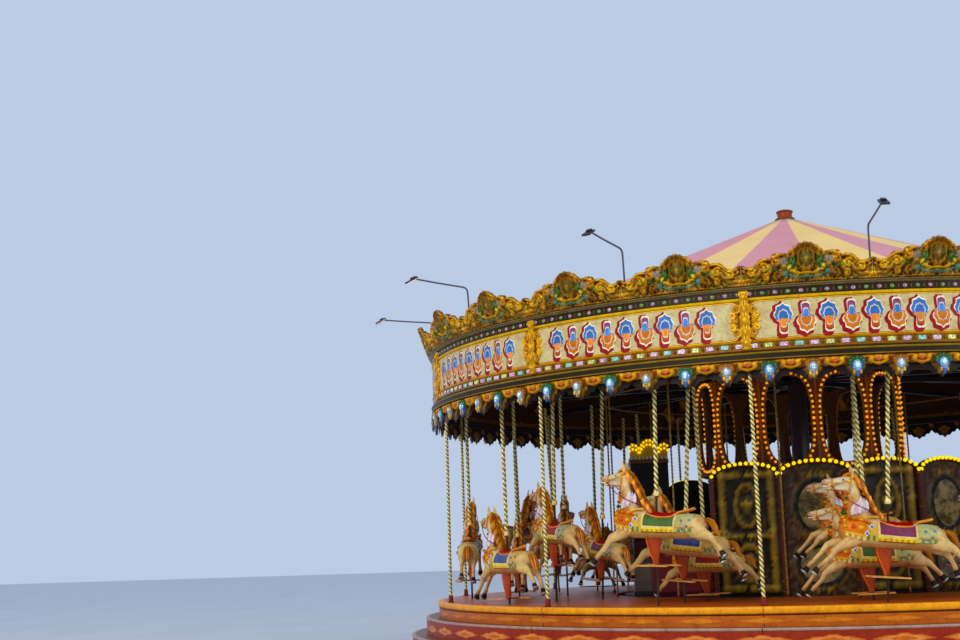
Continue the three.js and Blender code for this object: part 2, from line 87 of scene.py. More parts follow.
# The photograph's camera: place, turns about its upright, level and own axes, and lens
CAMERA_PLACE = (-3.848, -22.894, 1.578)
CAMERA_YAW, CAMERA_PITCH, CAMERA_ROLL = 0.2268, 0.1667, -0.0313
CAMERA_LENS = 51.30

# Degrees that the camera's axes are turned about the upright to meet the carousel's sections
SECTION_OFFSET = -9.54


def linear(channel):
    value = channel / 255
    return value / 12.92 if value <= 0.04045 else ((value + 0.055) / 1.055) ** 2.4


def tone(red, green, blue, gilt=0.0):
    """A colour as it looks on a screen, made a little richer, with its share of gilding."""
    channels = (linear(red), linear(green), linear(blue))
    grey = 0.21 * channels[0] + 0.72 * channels[1] + 0.07 * channels[2]
    return tuple(max(0.001, grey + (c - grey) * RICHNESS) for c in channels) + (gilt,)


BRIGHT_GOLD = tone(250, 200, 84, 0.3)
GOLD = tone(218, 158, 52, 0.32)
DEEP_GOLD = tone(150, 96, 26, 0.3)
DARK_BROWN = tone(36, 21, 10)
NEAR_BLACK = tone(11, 9, 6)
CREAM = tone(214, 190, 134)
IVORY = tone(250, 243, 220)
BLUE = tone(62, 124, 206)
DARK_RED = tone(112, 18, 22)
ORANGE = tone(226, 112, 38)
LEAF_GREEN = tone(44, 98, 50)
LILAC = tone(212, 186, 206)
SILVER = tone(176, 172, 160, 0.5)
PURPLE = tone(124, 62, 88)
BOTTLE_GREEN = tone(84, 110, 62)
ROYAL_BLUE = tone(70, 84, 136)
CRIMSON = tone(150, 48, 48)


def shade(paint, amount):
    """The same paint, darker or lighter by a factor."""
    return (paint[0] * amount, paint[1] * amount, paint[2] * amount, paint[3])


def between(first, second, share):
    return tuple(a + (b - a) * share for a, b in zip(first, second))


def clamped(value):
    return min(1.0, max(0.0, value))


class Carving:
    """Collects the parts of one piece: its points, its faces and a paint for each point."""

    def __init__(self, shape=None, paint=None):
        self.points = []
        self.faces = []
        self.paint = []
        if shape:
            self.add(shape, paint)

    def add(self, shape, paint):
        """Takes in a shape in one paint or in a paint for each of its points."""
        points, faces = shape
        start = len(self.points)
        self.points.extend(tuple(float(c) for c in p) for p in points)
        self.faces.extend(tuple(start + i for i in face) for face in faces)
        if isinstance(paint[0], (float, int)):
            self.paint.extend([tuple(paint)] * len(points))
        else:
            self.paint.extend(tuple(p) for p in paint)

    def moved(self, place):
        """A copy whose points are moved by place(point)."""
        copy = Carving()
        copy.points = [tuple(place(p)) for p in self.points]
        copy.faces = list(self.faces)
        copy.paint = list(self.paint)
        return copy

    def moved_by(self, matrix):
        return self.moved(lambda p: matrix @ Vector(p))

    def join(self, other):
        start = len(self.points)
        self.points.extend(other.points)
        self.faces.extend(tuple(start + i for i in face) for face in other.faces)
        self.paint.extend(other.paint)


def linked(name, mesh):
    piece = bpy.data.objects.new(name, mesh)
    bpy.context.scene.collection.objects.link(piece)
    return piece


def carved_piece(name, carving, material, sharp=42.0):
    """A mesh object of the carving, facing outwards, with its paint as an attribute."""
    mesh = bpy.data.meshes.new(name)
    mesh.from_pydata(carving.points, [], carving.faces)
    layer = mesh.color_attributes.new("paint", "FLOAT_COLOR", "POINT")
    layer.data.foreach_set("color", np.asarray(carving.paint, dtype=np.float32).ravel())
    mesh.materials.append(material)
    work = bmesh.new()
    work.from_mesh(mesh)
    bmesh.ops.recalc_face_normals(work, faces=work.faces)
    work.to_mesh(mesh)
    work.free()
    mesh.shade_smooth()
    mesh.set_sharp_from_angle(angle=math.radians(sharp))
    return linked(name, mesh)


# Shapes: each gives a list of points and a list of faces

def full_turn(count):
    """Angles of so many even steps round a circle."""
    return [2 * math.pi * k / count for k in range(count)]


def grid(columns, rows):
    """Faces of a grid of points laid row by row, and the points round its border."""
    width = columns + 1
    faces = [(k * width + i, k * width + i + 1, (k + 1) * width + i + 1, (k + 1) * width + i)
             for k in range(rows) for i in range(columns)]
    border = list(range(width)) + [k * width + columns for k in range(1, rows + 1)]
    border += [rows * width + i for i in range(columns - 1, -1, -1)]
    border += [k * width for k in range(rows - 1, 0, -1)]
    return faces, border


def backing(border, start):
    """Sides and flat back of a grid whose border is repeated behind it from index start on."""
    n = len(border)
    sides = [(border[k], start + k, start + (k + 1) % n, border[(k + 1) % n]) for k in range(n)]
    return sides + [tuple(start + k for k in range(n))]


def ring(profile, sides=144):
    """A closed outline of (radius, height) points, turned about the centre line."""
    points = []
    count = len(profile)
    for angle in full_turn(sides):
        points.extend((r * math.sin(angle), -r * math.cos(angle), z) for r, z in profile)
    faces = []
    for i in range(sides):
        after = (i + 1) % sides
        for j in range(count):
            beside = (j + 1) % count
            faces.append((i * count + j, after * count + j, after * count + beside, i * count + beside))
    return points, faces


def turned(profile, centre, sides):
    """A solid of revolution about Z from (radius, height) points that start and end on the axis."""
    x, y, base = centre
    points = [(x, y, base + profile[0][1])]
    inner = profile[1:-1]
    for r, z in inner:
        points += [(x + r * math.cos(a), y + r * math.sin(a), base + z) for a in full_turn(sides)]
    points.append((x, y, base + profile[-1][1]))
    faces = []
    for i in range(sides):
        after = (i + 1) % sides
        faces.append((0, 1 + after, 1 + i))
        for j in range(len(inner) - 1):
            low = 1 + j * sides
            faces.append((low + i, low + after, low + sides + after, low + sides + i))
        last = 1 + (len(inner) - 1) * sides
        faces.append((last + i, last + after, len(points) - 1))
    return points, faces


def loft(rings):
    """A closed body through rings of the same number of points, with a flat end at each side."""
    points = [p for ring_points in rings for p in ring_points]
    n = len(rings[0])
    faces = []
    for k in range(len(rings) - 1):
        for i in range(n):
            after = (i + 1) % n
            faces.append((k * n + i, k * n + after, (k + 1) * n + after, (k + 1) * n + i))
    faces.append(tuple(range(n - 1, -1, -1)))
    faces.append(tuple((len(rings) - 1) * n + i for i in range(n)))
    return points, faces


def tube(path, radii, sides, flat=1.0):
    """A tube along a path. radii is one radius or one for each point, and flat squashes it across."""
    path = [Vector(p) for p in path]
    if isinstance(radii, (float, int)):
        radii = [radii] * len(path)
    first = (path[1] - path[0]).normalized()
    side = first.orthogonal().normalized()
    rings = []
    for k, centre in enumerate(path):
        ahead = path[min(k + 1, len(path) - 1)]
        behind = path[max(k - 1, 0)]
        way = (ahead - behind).normalized()
        side = (side - way * side.dot(way)).normalized()
        up = way.cross(side)
        rings.append([centre + side * (radii[k] * math.cos(a)) + up * (radii[k] * flat * math.sin(a))
                      for a in full_turn(sides)])
    return loft(rings)


def limb(path, sections, sides):
    """A body along a path in the XZ plane, with a half width along Y and a half depth across it."""
    rings = []
    for k, (x, y, z) in enumerate(path):
        ahead = path[min(k + 1, len(path) - 1)]
        behind = path[max(k - 1, 0)]
        way = Vector((ahead[0] - behind[0], 0, ahead[2] - behind[2])).normalized()
        across = Vector((-way.z, 0, way.x))
        width, depth = sections[k]
        offsets = [across * (depth * math.cos(a)) + Vector((0, width * math.sin(a), 0))
                   for a in full_turn(sides)]
        rings.append([Vector((x, y, z)) + offset for offset in offsets])
    return loft(rings)


def ball(centre, radii, sides, rows):
    """A rounded knob or jewel with its own radius along each axis."""
    profile = []
    for k in range(rows + 1):
        angle = math.pi * k / rows
        profile.append((math.sin(angle), -math.cos(angle)))
    points, faces = turned(profile, (0, 0, 0), sides)
    return [(centre[0] + x * radii[0], centre[1] + y * radii[1], centre[2] + z * radii[2])
            for x, y, z in points], faces


def box(low, high):
    x0, y0, z0 = low
    x1, y1, z1 = high
    points = [(x0, y0, z0), (x1, y0, z0), (x1, y1, z0), (x0, y1, z0),
              (x0, y0, z1), (x1, y0, z1), (x1, y1, z1), (x0, y1, z1)]
    faces = [(3, 2, 1, 0), (4, 5, 6, 7), (0, 1, 5, 4), (1, 2, 6, 5), (2, 3, 7, 6), (3, 0, 4, 7)]
    return points, faces


def raised(outline, back, front, inset=0.0):
    """A flat outline in X and Z, raised from depth back to depth front, with its front edge drawn in."""
    middle_x = sum(p[0] for p in outline) / len(outline)
    middle_z = sum(p[1] for p in outline) / len(outline)
    shrunk = []
    for x, z in outline:
        length = math.hypot(x - middle_x, z - middle_z) or 1.0
        share = max(0.0, 1 - inset / length)
        shrunk.append((middle_x + (x - middle_x) * share, middle_z + (z - middle_z) * share))
    n = len(outline)
    points = [(x, back, z) for x, z in outline] + [(x, front, z) for x, z in shrunk]
    faces = [tuple(range(n - 1, -1, -1)), tuple(range(n, 2 * n))]
    faces.extend((i, (i + 1) % n, n + (i + 1) % n, n + i) for i in range(n))
    return points, faces


def bent(radius):
    """Places a flat shape, drawn as along, outward and up, on the round of that radius."""
    def place(point):
        angle = point[0] / radius
        reach = radius + point[1]
        return (reach * math.sin(angle), -reach * math.cos(angle), point[2])
    return place


def rectangle(x0, x1, z0, z1, corner=0.0, steps=4):
    """Points of a rectangle with rounded corners, anticlockwise."""
    if corner == 0:
        return [(x0, z0), (x1, z0), (x1, z1), (x0, z1)]
    points = []
    for cx, cz, start in ((x1 - corner, z0 + corner, -90), (x1 - corner, z1 - corner, 0),
                          (x0 + corner, z1 - corner, 90), (x0 + corner, z0 + corner, 180)):
        for k in range(steps + 1):
            angle = math.radians(start + 90 * k / steps)
            points.append((cx + corner * math.cos(angle), cz + corner * math.sin(angle)))
    return points


def oval(centre_x, centre_z, half_width, half_height, sides):
    return [(centre_x + half_width * math.cos(a), centre_z + half_height * math.sin(a))
            for a in full_turn(sides)]


def strips(stations, back, front):
    """A thin form built in upright strips from (along, low, high) stations."""
    return loft([[(x, back, z0), (x, front, z0), (x, front, z1), (x, back, z1)] for x, z0, z1 in stations])


def plate(x0, x1, z0, z1, corner, back, front):
    """A round-cornered panel built in upright strips, so that it can be bent to the board's curve."""
    stations = []
    columns = 24
    for k in range(5):
        turn = math.pi / 2 * k / 4
        stations.append((x0 + corner * (1 - math.cos(turn)), corner * (1 - math.sin(turn))))
    for k in range(1, columns):
        stations.append((x0 + corner + (x1 - x0 - 2 * corner) * k / columns, 0.0))
    for k in range(5):
        turn = math.pi / 2 * (1 - k / 4)
        stations.append((x1 - corner * (1 - math.cos(turn)), corner * (1 - math.sin(turn))))
    return strips([(x, z0 + inset, z1 - inset) for x, inset in stations], back, front)


class Relief:
    """A carved field: rounded lumps and strokes over a flat ground, each with its own paint."""

    def __init__(self, ground):
        self.ground = ground
        self.lumps = []

    def lump(self, x, y, rx, ry, turn, depth, paint, mirror=True):
        """An oval lump, turned by degrees, and its mirror image across x = 0."""
        for side in ((1, -1) if mirror and abs(x) > 1e-6 else (1,)):
            self.lumps.append((x * side, y, rx, ry, math.radians(turn * side), depth, paint))

    def stroke(self, path, thick, thin, depth, paint, mirror):
        """A row of round lumps that thins out along a path."""
        for k, (x, y) in enumerate(path):
            size = thick + (thin - thick) * k / max(1, len(path) - 1)
            self.lump(x, y, size, size, 0, depth * (0.6 + 0.4 * size / thick), paint, mirror)

    def line(self, corners, thick, thin, depth, paint, mirror=True):
        """A raised strip through a few corner points."""
        path = []
        for (x0, y0), (x1, y1) in zip(corners, corners[1:]):
            count = max(2, int(math.hypot(x1 - x0, y1 - y0) / (0.5 * thin)))
            path.extend((x0 + (x1 - x0) * k / count, y0 + (y1 - y0) * k / count) for k in range(count))
        self.stroke(path + [corners[-1]], thick, thin, depth, paint, mirror)

    def volute(self, x, y, size, turns, start, thick, depth, paint, hand=1, mirror=True):
        """A scroll that winds in towards its eye."""
        steps = int(26 * turns)
        path = []
        for k in range(steps):
            share = k / steps
            angle = math.radians(start) + hand * share * turns * 2 * math.pi
            reach = size * (1 - 0.85 * share)
            path.append((x + reach * math.cos(angle), y + reach * math.sin(angle)))
        self.stroke(path, thick, thick * 0.6, depth, paint, mirror)
        self.lump(x, y, thick * 1.2, thick * 1.2, 0, depth * 1.15, paint, mirror)

    def fan(self, x, y, reach, length, width, first, last, count, depth, paints, mirror=True):
        """Leaves or shell ribs spread from one point, between two angles in degrees."""
        for k in range(count):
            turn = first + (last - first) * k / max(1, count - 1)
            angle = math.radians(turn)
            self.lump(x + reach * math.cos(angle), y + reach * math.sin(angle), length, width, turn, depth,
                      paints[k % len(paints)], mirror)

    def foliage(self, seed, count, width, height, size, depth, paints):
        """Small overlapping leaves that fill the ground between the larger forms."""
        chance = np.random.default_rng(seed)
        for _ in range(count):
            x, y, turn, grow, pick = chance.random(5)
            self.lump(0.01 + x * width, y * height, size * (0.6 + 0.8 * grow), size * (0.25 + 0.2 * grow),
                      turn * 360, depth * (0.6 + 0.5 * grow), paints[int(pick * len(paints))])

    def surface(self, x, y):
        """Depth and paint of the field at arrays of places, each lump painted darker towards its rim as
        painted shade and a little lighter on its crown as painted highlight.
        """
        depth = np.zeros(x.shape)
        paint = np.empty(x.shape + (4,))
        paint[...] = self.ground
        for cx, cy, rx, ry, turn, high, colour in self.lumps:
            dx, dy = x - cx, y - cy
            a = (dx * math.cos(turn) + dy * math.sin(turn)) / rx
            b = (dy * math.cos(turn) - dx * math.sin(turn)) / ry
            swell = np.sqrt(np.clip(1 - a * a - b * b, 0, 1))
            over = (swell > 0) & (high * swell > depth)
            depth[over] = high * swell[over]
            # Painted shade and highlight: a lump's paint goes dark towards its rim, where the hollows between
            # lumps lie, and a little lighter than its own colour on its crown.
            tint = 0.28 + 0.78 * swell[over] ** 1.2
            paint[over, :3] = np.outer(tint, colour[:3])
            paint[over, 3] = colour[3]
        return depth, paint

    def slab(self, columns, rows, spot, place, both_sides=False, back=-0.02):
        """A closed slab with the carving. spot(u, v) gives the field place, place(x, y, depth) the point."""
        u, v = np.meshgrid(np.linspace(0, 1, columns + 1), np.linspace(0, 1, rows + 1))
        x, y = spot(u, v)
        depth, paint = self.surface(x, y)
        x, y, depth = x.ravel(), y.ravel(), depth.ravel()
        paint = [tuple(c) for c in paint.reshape(-1, 4)]
        points = [place(a, b, d) for a, b, d in zip(x, y, depth)]
        faces, border = grid(columns, rows)
        start = len(points)
        if both_sides:
            points += [place(a, b, -d - 0.01) for a, b, d in zip(x, y, depth)]
            faces += [(start + a, start + d, start + c, start + b) for a, b, c, d in faces]
            faces += [(a, start + a, start + b, b) for a, b in zip(border, border[1:] + border[:1])]
            return (points, faces), paint + paint
        points += [place(x[i], y[i], back) for i in border]
        return (points, faces + backing(border, start)), paint + [self.ground] * len(border)


# Geometry node trees for what repeats or follows a line

def new_tree(name, inputs):
    tree = bpy.data.node_groups.new(name, "GeometryNodeTree")
    tree.interface.new_socket("Geometry", in_out="INPUT", socket_type="NodeSocketGeometry")
    for label, kind in inputs:
        tree.interface.new_socket(label, in_out="INPUT", socket_type="NodeSocket" + kind)
    tree.interface.new_socket("Geometry", in_out="OUTPUT", socket_type="NodeSocketGeometry")
    source = tree.nodes.new("NodeGroupInput")
    target = tree.nodes.new("NodeGroupOutput")
    return tree, source, target


def add_node(tree, kind, inputs=None, **settings):
    """A node with its settings and its inputs: each a value, an output or a node with its first output."""
    node = tree.nodes.new(kind)
    for key, value in settings.items():
        setattr(node, key, value)
    for key, value in (inputs or {}).items():
        if isinstance(value, bpy.types.Node):
            value = value.outputs[0]
        if isinstance(value, bpy.types.NodeSocket):
            tree.links.new(value, node.inputs[key])
        else:
            node.inputs[key].default_value = value
    return node


def finish_tree(tree, source, target, geometry, smooth=True):
    """Ends a tree: real geometry, smooth where asked, in the finish that the tree is given."""
    whole = add_node(tree, "GeometryNodeRealizeInstances", {"Geometry": geometry})
    if smooth:
        whole = add_node(tree, "GeometryNodeSetShadeSmooth", {"Geometry": whole})
    dressed = add_node(tree, "GeometryNodeSetMaterial",
                       {"Geometry": whole, "Material": source.outputs["Finish"]})
    tree.links.new(dressed.outputs["Geometry"], target.inputs["Geometry"])
    return tree


def round_copies_tree():
    """Copies the shape round the centre line."""
    tree, source, target = new_tree("round_copies", (("Count", "Int"), ("Finish", "Material")))
    dots = add_node(tree, "GeometryNodePoints", {"Count": source.outputs["Count"]})
    index = add_node(tree, "GeometryNodeInputIndex")
    pitch = add_node(tree, "ShaderNodeMath", {0: 2 * math.pi, 1: source.outputs["Count"]}, operation="DIVIDE")
    turn = add_node(tree, "ShaderNodeMath", {0: index, 1: pitch}, operation="MULTIPLY")
    angles = add_node(tree, "ShaderNodeCombineXYZ", {"Z": turn})
    copies = add_node(tree, "GeometryNodeInstanceOnPoints",
                      {"Points": dots, "Instance": source.outputs["Geometry"], "Rotation": angles})
    return finish_tree(tree, source, target, copies, smooth=False)


def twisted_bar_tree():
    """Turns each line into a bar twisted from two strands, and marks the groove between them."""
    tree, source, target = new_tree("twisted_bar", (
        ("Radius", "Float"), ("Flatness", "Float"), ("Sides", "Int"), ("Turn per metre", "Float"),
        ("Step", "Float"), ("Finish", "Material")))
    curve = add_node(tree, "GeometryNodeMeshToCurve", {"Mesh": source.outputs["Geometry"]})
    fine = add_node(tree, "GeometryNodeResampleCurve", {"Curve": curve, "Length": source.outputs["Step"]},
                    mode="LENGTH")
    along = add_node(tree, "GeometryNodeSplineParameter")
    twist = add_node(tree, "ShaderNodeMath",
                     {0: along.outputs["Length"], 1: source.outputs["Turn per metre"]}, operation="MULTIPLY")
    tilted = add_node(tree, "GeometryNodeSetCurveTilt", {"Curve": fine, "Tilt": twist})
    round_profile = add_node(tree, "GeometryNodeCurvePrimitiveCircle",
                             {"Resolution": source.outputs["Sides"], "Radius": source.outputs["Radius"]})
    place = add_node(tree, "GeometryNodeInputPosition")
    split = add_node(tree, "ShaderNodeSeparateXYZ", {"Vector": place})
    across = add_node(tree, "ShaderNodeMath", {0: split.outputs["Y"]}, operation="ABSOLUTE")
    share = add_node(tree, "ShaderNodeMath", {0: across, 1: source.outputs["Radius"]}, operation="DIVIDE")
    marked = add_node(tree, "GeometryNodeStoreNamedAttribute",
                      {"Geometry": round_profile, "Name": "groove", "Value": share},
                      data_type="FLOAT", domain="POINT")
    squash = add_node(tree, "ShaderNodeCombineXYZ", {"X": 1.0, "Y": source.outputs["Flatness"], "Z": 1.0})
    flat = add_node(tree, "GeometryNodeTransform", {"Geometry": marked, "Scale": squash})
    bar = add_node(tree, "GeometryNodeCurveToMesh",
                   {"Curve": tilted, "Profile Curve": flat, "Fill Caps": True})
    return finish_tree(tree, source, target, bar)


def beads_tree():
    """Strings round bulbs along each line."""
    tree, source, target = new_tree("bulbs_on_lines", (
        ("Spacing", "Float"), ("Radius", "Float"), ("Finish", "Material")))
    curve = add_node(tree, "GeometryNodeMeshToCurve", {"Mesh": source.outputs["Geometry"]})
    dots = add_node(tree, "GeometryNodeCurveToPoints", {"Curve": curve, "Length": source.outputs["Spacing"]},
                    mode="LENGTH")
    bead = add_node(tree, "GeometryNodeMeshUVSphere",
                    {"Segments": 7, "Rings": 4, "Radius": source.outputs["Radius"]})
    copies = add_node(tree, "GeometryNodeInstanceOnPoints", {"Points": dots, "Instance": bead})
    return finish_tree(tree, source, target, copies)


def grown(piece, tree, settings):
    """Runs a tree on the piece and keeps the result as its plain mesh."""
    modifier = piece.modifiers.new("shape", "NODES")
    modifier.node_group = tree
    for item in tree.interface.items_tree:
        if item.in_out == "INPUT" and item.name in settings:
            modifier[item.identifier] = settings[item.name]
    graph = bpy.context.evaluated_depsgraph_get()
    mesh = bpy.data.meshes.new_from_object(piece.evaluated_get(graph), depsgraph=graph)
    piece.modifiers.remove(modifier)
    piece.data = mesh
    return piece


def line_piece(name, lines):
    """A mesh of loose lines for a tree to follow."""
    points = []
    edges = []
    for line in lines:
        start = len(points)
        points.extend(tuple(p) for p in line)
        edges.extend((start + k, start + k + 1) for k in range(len(line) - 1))
    mesh = bpy.data.meshes.new(name)
    mesh.from_pydata(points, edges, [])
    return linked(name, mesh)


def tree_named(name, maker):
    return bpy.data.node_groups.get(name) or maker()


def all_round(piece, material, count=SECTIONS):
    tree = tree_named("round_copies", round_copies_tree)
    return grown(piece, tree, {"Count": count, "Finish": material})


def twisted(name, lines, radius, spacing, material, sides):
    """Two-strand twisted bars whose ridges stand the given spacing apart."""
    tree = tree_named("twisted_bar", twisted_bar_tree)
    return grown(line_piece(name, lines), tree, {
        "Radius": radius, "Flatness": 0.68, "Sides": sides, "Turn per metre": -math.pi / spacing,
        "Step": spacing / 4, "Finish": material})


def bulbs(name, lines, spacing, radius, material):
    tree = tree_named("bulbs_on_lines", beads_tree)
    return grown(line_piece(name, lines), tree, {"Spacing": spacing, "Radius": radius, "Finish": material})


# Finishes

class Finish:
    """A material that is built node by node."""

    def __init__(self, name, **sockets):
        self.material = bpy.data.materials.new(name)
        self.material.use_nodes = True
        self.tree = self.material.node_tree
        self.shader = self.tree.nodes["Principled BSDF"]
        for key, value in sockets.items():
            self.shader.inputs[key.replace("_", " ")].default_value = value

    def node(self, kind, inputs=None, **settings):
        return add_node(self.tree, kind, inputs, **settings)

    def place(self, scale=(1, 1, 1)):
        source = self.node("ShaderNodeTexCoord")
        return self.node("ShaderNodeMapping", {"Vector": source.outputs["Object"], "Scale": scale})

    def speckle(self, scale, detail, vector=None, rough=0.55):
        """Noise between 0 and 1, so many cells to the metre."""
        vector = vector or self.place()
        return self.node("ShaderNodeTexNoise",
                         {"Vector": vector, "Scale": scale, "Detail": detail, "Roughness": rough})

    def sum(self, operation, first, second):
        return self.node("ShaderNodeMath", {0: first, 1: second}, operation=operation)

    def span(self, value, low, high, new_low=0.0, new_high=1.0):
        """The value spread from its range between low and high over the new range."""
        return self.node("ShaderNodeMapRange", {"Value": value, "From Min": low, "From Max": high,
                                                "To Min": new_low, "To Max": new_high})

    def mix(self, share, first, second, blend="MIX"):
        made = self.node("ShaderNodeMix", {0: share, 6: first, 7: second}, data_type="RGBA", blend_type=blend)
        return made.outputs[2]

    def attribute(self, name, output="Color"):
        return self.node("ShaderNodeAttribute", attribute_name=name).outputs[output]

    def set(self, socket, value):
        """Drives a socket of the shader from an output or from a node's first output."""
        output = value.outputs[0] if isinstance(value, bpy.types.Node) else value
        self.tree.links.new(output, self.shader.inputs[socket])

    def bump(self, height, distance, strength):
        self.set("Normal", self.node("ShaderNodeBump", {"Height": height, "Distance": distance,
                                                        "Strength": strength}))


def opaque(paint):
    return (paint[0], paint[1], paint[2], 1.0)


def tint(red, green, blue):
    return (red, green, blue, 1.0)


def carved_paint_finish(name, roughness, depth, wash):
    """Hand-laid paint and gilding: the paint attribute gives the colour and the share of gold."""
    finish = Finish(name, Coat_Weight=0.05, Coat_Roughness=0.2, Specular_IOR_Level=0.16)
    paint = finish.attribute("paint")
    gilt = finish.attribute("paint", "Alpha")
    broad = finish.speckle(7.0, 4.0)
    fine = finish.speckle(60.0, 5.0)
    stain = finish.speckle(24.0, 6.0)
    grime = finish.mix(finish.span(broad, 0.38, 0.68, 0.0, wash), paint, tint(0.62, 0.42, 0.24), "MULTIPLY")
    grime = finish.mix(finish.span(stain, 0.5, 0.72, 0.0, wash), grime, tint(0.5, 0.33, 0.2), "MULTIPLY")
    worn = finish.mix(finish.span(fine, 0.58, 0.78, 0.0, 0.5), grime, tint(1.5, 1.4, 1.2), "MULTIPLY")
    finish.set("Base Color", worn)
    finish.set("Metallic", finish.sum("MULTIPLY", gilt, 0.9))
    finish.set("Roughness", finish.span(fine, 0.3, 0.75, roughness - 0.1, roughness + 0.16))
    finish.bump(finish.sum("ADD", fine, stain), depth, 0.6)
    return finish.material


def twisted_brass_finish(name, bright, dark):
    """Polished twist, painted darker in the grooves between the strands as painted shade, with speckled
    tarnish over it.
    """
    finish = Finish(name, Metallic=0.35, Coat_Weight=0.15, Specular_IOR_Level=0.4)
    # Painted shade: the groove attribute lays the dark colour into the grooves between the strands.
    groove = finish.span(finish.attribute("groove", "Fac"), 0.35, 0.95)
    tarnish = finish.speckle(22.0, 4.0)
    share = finish.sum("ADD", groove, finish.span(tarnish, 0.4, 0.75, -0.1, 0.25))
    finish.set("Base Color", finish.mix(finish.span(share, 0.0, 1.0), opaque(bright), opaque(dark)))
    finish.set("Roughness", finish.span(tarnish, 0.3, 0.8, 0.25, 0.5))
    finish.bump(tarnish, 0.001, 0.4)
    return finish.material


def bulb_finish(name, paint, glow):
    """A lit coloured lamp: its glass is brighter where its filament stands behind it."""
    finish = Finish(name, Roughness=0.2, Emission_Strength=glow)
    swirl = finish.speckle(35.0, 2.0)
    lit = finish.mix(finish.span(swirl, 0.35, 0.65), opaque(paint), opaque(shade(paint, 0.72)))
    finish.set("Base Color", lit)
    finish.set("Emission Color", lit)
    finish.bump(swirl, 0.0008, 0.3)
    return finish.material


def jewel_finish(name):
    """Cut glass over a mirror back, in the colour of its paint attribute, with painted glints and painted
    shade on its facets and a faint glow.
    """
    # The faint emission is painted light on the jewels; on the lamp glass it stands for the lamp.
    finish = Finish(name, Roughness=0.12, Metallic=0.15, Coat_Weight=0.6, Coat_Roughness=0.05,
                    Emission_Strength=0.18)
    facets = finish.node("ShaderNodeTexVoronoi", {"Vector": finish.place(), "Scale": 55.0})
    depth = finish.span(facets, 0.1, 0.7)
    # Painted glints and painted shade: some facets are painted brighter and some darker.
    painted_facet_light = finish.mix(depth, tint(1.6, 1.6, 1.6), tint(0.5, 0.5, 0.5))
    cut = finish.mix(1.0, finish.attribute("paint"), painted_facet_light, "MULTIPLY")
    finish.set("Base Color", cut)
    finish.set("Emission Color", cut)
    finish.bump(facets, 0.004, 0.6)
    return finish.material


def timber_finish(name, paint, second, boards=0.0, roughness=0.45, coat=0.15):
    """Painted or varnished wood with its grain, and the joints between boards where they show."""
    finish = Finish(name, Coat_Weight=coat, Coat_Roughness=0.15, Specular_IOR_Level=0.3)
    grain = finish.speckle(3.0, 8.0, finish.place((1.0, 14.0, 14.0)), 0.7)
    patches = finish.speckle(1.3, 3.0)
    colour = finish.mix(finish.span(grain, 0.3, 0.7), opaque(paint), opaque(second))
    colour = finish.mix(finish.span(patches, 0.35, 0.7, 0.0, 0.45), colour, tint(0.6, 0.5, 0.4), "MULTIPLY")
    height = grain
    if boards:
        source = finish.node("ShaderNodeTexCoord").outputs["Object"]
        split = finish.node("ShaderNodeSeparateXYZ", {"Vector": source})
        radius = finish.node("ShaderNodeVectorMath", {0: source, 1: (1, 1, 0)}, operation="MULTIPLY")
        length = finish.node("ShaderNodeVectorMath", {0: radius}, operation="LENGTH")
        step = finish.sum("FRACT", finish.sum("DIVIDE", length.outputs["Value"], boards), 0.0)
        joint = finish.sum("LESS_THAN", step, 0.05)
        turn = finish.sum("ARCTAN2", split.outputs["X"], split.outputs["Y"])
        butt = finish.sum("FRACT", finish.sum("DIVIDE", turn, SECTION / 2), 0.0)
        joint = finish.sum("MAXIMUM", joint, finish.sum("LESS_THAN", butt, 0.008))
        colour = finish.mix(finish.sum("MULTIPLY", joint, 0.75), colour, tint(0.03, 0.015, 0.01))
        height = finish.sum("SUBTRACT", grain, joint)
    finish.set("Base Color", colour)
    finish.set("Roughness", finish.span(grain, 0.3, 0.8, roughness - 0.1, roughness + 0.2))
    finish.bump(height, 0.002, 0.5)
    return finish.material


def metal_finish(name, paint, roughness):
    """Rolled metal, brushed one way and a little weathered."""
    finish = Finish(name, Metallic=0.9)
    brushed = finish.speckle(4.0, 5.0, finish.place((60.0, 60.0, 2.0)))
    weather = finish.speckle(2.5, 4.0)
    colour = finish.mix(finish.span(weather, 0.35, 0.7, 0.0, 0.5), opaque(paint), opaque(shade(paint, 0.55)))
    finish.set("Base Color", colour)
    finish.set("Roughness", finish.span(brushed, 0.3, 0.7, roughness - 0.08, roughness + 0.14))
    finish.bump(brushed, 0.0008, 0.4)
    return finish.material


def canvas_finish(name):
    """Woven canvas in the colour of its stripe, with soft folds and rain marks."""
    finish = Finish(name, Roughness=0.85, Sheen_Weight=0.1, Sheen_Roughness=0.5, Specular_IOR_Level=0.2)
    stripe = finish.attribute("paint")
    weft = finish.node("ShaderNodeTexWave", {"Vector": finish.place(), "Scale": 160.0}, bands_direction="X")
    warp = finish.node("ShaderNodeTexWave", {"Vector": finish.place(), "Scale": 160.0}, bands_direction="Y")
    weave = finish.sum("MULTIPLY", weft.outputs["Fac"], warp.outputs["Fac"])
    marks = finish.speckle(1.6, 5.0, finish.place((1.0, 1.0, 0.4)))
    stained = finish.span(marks, 0.4, 0.75, 0.0, 0.35)
    finish.set("Base Color", finish.mix(stained, stripe, tint(0.8, 0.7, 0.6), "MULTIPLY"))
    finish.bump(finish.sum("ADD", finish.sum("MULTIPLY", weave, 0.02), marks), 0.012, 0.35)
    return finish.material


def underside_shade_finish(name):
    """Painted shade on the underside of the canvas: near black, with faint marks."""
    finish = Finish(name, Roughness=0.9, Specular_IOR_Level=0.1)
    marks = finish.speckle(2.2, 5.0)
    # The underside is painted near black as the shade under the roof.
    shades = (tint(0.03, 0.018, 0.01), tint(0.06, 0.035, 0.018))
    finish.set("Base Color", finish.mix(finish.span(marks, 0.35, 0.7), *shades))
    finish.bump(marks, 0.004, 0.3)
    return finish.material


